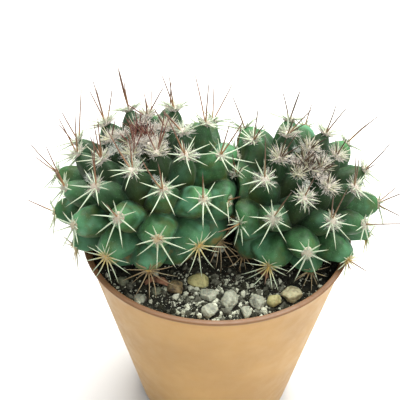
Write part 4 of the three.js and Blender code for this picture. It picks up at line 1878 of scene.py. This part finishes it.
    def wool(self, areoles: Areoles) -> Surface:
        """Felt cushions with hairs on the areoles, more hairs on young ones, and tufts in clefts.

        Args:
            areoles: all areoles of the head.

        Returns:
            All wool as one surface. Tufts in clefts have an age from -1 for fresh to 0.
        """
        place, outward, habit = areoles.place, areoles.outward, self.woolly
        heart = self.in_tangle(areoles)
        young = falling(*habit.ageing, areoles.polar)
        old = self.is_old(areoles).astype(float)
        worn = np.maximum(areoles.wear(), old)
        squashed = 0.55 + 0.45 * rising(1.5, 4.0, self.head.own_side(place))
        wide = (habit.pad_width - 0.1 * young) * squashed * (1.0 - 0.25 * old - 0.65 * heart)
        pads = self.felt(Tufts(place - outward * 0.12, outward, wide, habit.pad_height * wide, worn))
        standing = self.hairs(Tufts(
            place + outward * (0.05 + 0.15 * young)[:, None], outward,
            habit.tuft_width + 0.4 * young - 0.3 * old - 0.5 * heart,
            habit.tuft_length + habit.young_longer * young * (1.0 - 0.75 * heart), worn,
        ), habit.tuft_hairs)
        fluffy = areoles.kept((heart < 0.5) & (areoles.polar < habit.ripening[1]))
        ripe = rising(*habit.ripening, fluffy.polar)
        fluff = self.hairs(Tufts(
            fluffy.place, fluffy.outward, habit.fluff_width - 0.3 * ripe,
            habit.fluff_length - 0.55 * ripe, fluffy.wear(),
        ), habit.fluff_hairs)
        place, outward, polar = self.clefts()
        age = worn_by(polar)
        size = self.rng.uniform(*habit.axil_size, len(place)) * (1.0 + 0.9 * (age < 0.03))
        fresh = -rising(0.01, 0.03, age)
        pad_width, pad_height = habit.axil_pad
        cushions = self.felt(Tufts(place, outward, pad_width * size, pad_height * size, fresh))
        axils = self.hairs(Tufts(
            place + outward * 0.1, outward, habit.axil_width * size, habit.axil_length * size, fresh,
        ), habit.fluff_hairs)
        tufts = Strands.joined([standing, fluff, axils]).surface(sides=3, rings=3, taper=0.6)
        return Surface.joined([pads, cushions, tufts])

    def build(self, finishes: dict[str, bpy.types.Material]) -> None:
        """Makes the spines and wool, in place of those of the plain head.

        Args:
            finishes: the plant's materials by name.
        """
        areoles = self.areoles()
        later = self.is_old(areoles)
        radials = Strands.joined([self.stars(areoles.kept(later == old), old) for old in (False, True)])
        pale = Surface.joined([
            radials.surface(sides=5, rings=5, taper=0.7),
            self.bristles(areoles).surface(sides=3, rings=3, taper=0.7),
        ])
        dark = Strands.joined([self.centrals(areoles), self.crown_spines(areoles)])
        brown = dark.surface(sides=5, rings=6, taper=0.32)
        for name, surface, finish, slot in (
            ("radial_spines", pale, "pale", "pale_spine"),
            ("central_spines", brown, self.habit.central_finish, "brown_spine"),
            ("wool", self.wool(areoles), "wool", "areole_wool"),
        ):
            piece = surface.piece(f"{self.head.key}_{name}", finishes[finish], slot)
            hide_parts(f"head_{self.head.key}")


@dataclass
class Studio:
    """Camera, floor and soft light. Only the lamps and the floor are placed in metres."""

    elevation: float = 37.5
    target: Triple = (-3.65, 0.0, 57.6)
    distance: float = 175.0
    focal_pixels: float = 804.6
    image_pixels: float = 400.0
    sensor: float = 36.0
    floor_half: float = 2.0
    sky: float = 0.68
    lamp_aim: Triple = (0.0, 0.0, 0.055)

    def camera(self) -> None:
        """A level camera that looks along +Y and down, placed as the photograph's was."""
        tilt = math.radians(self.elevation)
        made = linked("photo_camera", bpy.data.cameras.new("photo_camera"))
        made.data.sensor_width = self.sensor
        made.data.lens = self.focal_pixels * self.sensor / self.image_pixels
        made.data.clip_start = 0.005
        back = np.array([0.0, -math.cos(tilt), math.sin(tilt)])
        made.location = (np.array(self.target) + back * self.distance) * MM
        made.rotation_euler = (math.pi / 2.0 - tilt, 0.0, 0.0)
        bpy.context.scene.camera = made

    def floor(self) -> None:
        """A wide pale floor just under the pot."""
        half = self.floor_half
        mesh = bpy.data.meshes.new("floor")
        corners = [(-half, -half, 0.0), (half, -half, 0.0), (half, half, 0.0), (-half, half, 0.0)]
        mesh.from_pydata(corners, [], [(0, 1, 2, 3)])
        s = Shader("floor")
        pale = s.mix(s.span(s.noise(60.0, 2.0), 0.3, 0.7), "d2d2d1", "cdcdcb")
        mesh.materials.append(s.finish(Base_Color=pale, Roughness=0.9, Specular_IOR_Level=0.1))
        made = linked("floor", mesh)

    def lamp(self, name: str, place: Triple, size: float, power: float, colour: Triple) -> None:
        """A square soft lamp that faces the plant.

        Args:
            name: name of the lamp.
            place: where it hangs, in metres.
            size: length of its side, in metres.
            power: its power in watts.
            colour: its colour as linear light.
        """
        made = linked(name, bpy.data.lights.new(name, "AREA"))
        made.data.size = size
        made.data.energy = power
        made.data.color = colour
        made.location = place
        x, y, z = np.array(self.lamp_aim) - np.array(place)
        made.rotation_euler = (math.atan2(math.hypot(x, y), -z), 0.0, math.atan2(-x, y))

    def build(self) -> None:
        """Sets up the view, the floor, the sky and the lamps."""
        self.camera()
        self.floor()
        sky = bpy.data.worlds.new("soft_sky")
        sky.use_nodes = True
        back = sky.node_tree.nodes["Background"]
        back.inputs["Color"].default_value = (1.0, 1.0, 1.0, 1.0)
        back.inputs["Strength"].default_value = self.sky
        bpy.context.scene.world = sky
        self.lamp("window", place=(0.09, 0.22, 0.6), size=0.5, power=11.0, colour=(1.0, 0.985, 0.96))
        self.lamp("front_fill", place=(0.3, -0.5, 0.4), size=0.6, power=3.4, colour=(1.0, 0.97, 0.94))
        bpy.context.scene.view_settings.view_transform = "Standard"


def plant(ground: Ground) -> list[Coat]:
    """Sets up the two heads, each knowing the other, and a coat for each.

    Args:
        ground: the soil and pot that the heads stand in.

    Returns:
        The coats, the left head's first.
    """
    left = CactusHead(
        key="left", sign=1, seed=11, ground=ground, centre=(-14.5, 2.4, 59.4), equator=21.4, pole=15.8,
        lean=(-0.212, -0.014), start_turn=282.2, turn=137.545, area=107.5, crowding=18.0,
        neck=(-11.5, 3.0, 9.5), crown=(2.0, -0.3, -4.0),
    )
    right = CactusHead(
        key="right", sign=-1, seed=23, ground=ground, centre=(16.8, 1.6, 57.4), equator=19.2, pole=12.8,
        lean=(0.262, -0.324), start_turn=275.1, turn=-137.388, area=111.5, crowding=14.1,
        neck=(14.0, 4.0, 9.0), crown=(-0.3, 0.0, -1.8),
    )
    left.neighbour, right.neighbour = right, left
    fuller = SpineHabit(
        lower=7.4, upper=3.6, central=12.2, central_share=1.0, young_length=4.8, young_count=38,
        central_finish="red",
    )
    sparser = SpineHabit(
        lower=6.4, upper=3.2, central=10.6, central_share=0.9, young_length=4.4, young_count=18,
        central_finish="brown",
    )
    return [
        Coat(left, fuller, tangle=(-16.4, 3.4), axil_share=0.4),
        Coat(right, sparser, tangle=(19.2, -2.0), axil_share=0.1),
    ]


def main() -> None:
    """Builds the part and its studio."""
    logging.basicConfig(level=logging.INFO, format="%(message)s")
    Studio().build()
    pot = Pot()
    pot.build()
    ground = Ground(pot)
    ground.build()
    pale = SpineFinish(
        "pale_spine", base="9aa48c", middle="a2b098", tip="a0a282", old="8b7657", bud="aba58c")
    red = SpineFinish(
        "red_spine", base="a0784f", middle="644432", tip="2b2224", old="7d6a58", bud="4f181e",
        glow=0.08, fade=0.5)
    brown = SpineFinish(
        "brown_spine", base="90724b", middle="553e2e", tip="261e1d", old="7a6a5a", bud="261916",
        glow=0.08, fade=0.5)
    named = {"flesh": FleshFinish(), "pale": pale, "red": red, "brown": brown, "wool": WoolFinish()}
    finishes = {name: finish.material() for name, finish in named.items()}
    for coat in plant(ground):
        coat.head.build(finishes)
        coat.build(finishes)


if __name__ == "__main__":
    main()
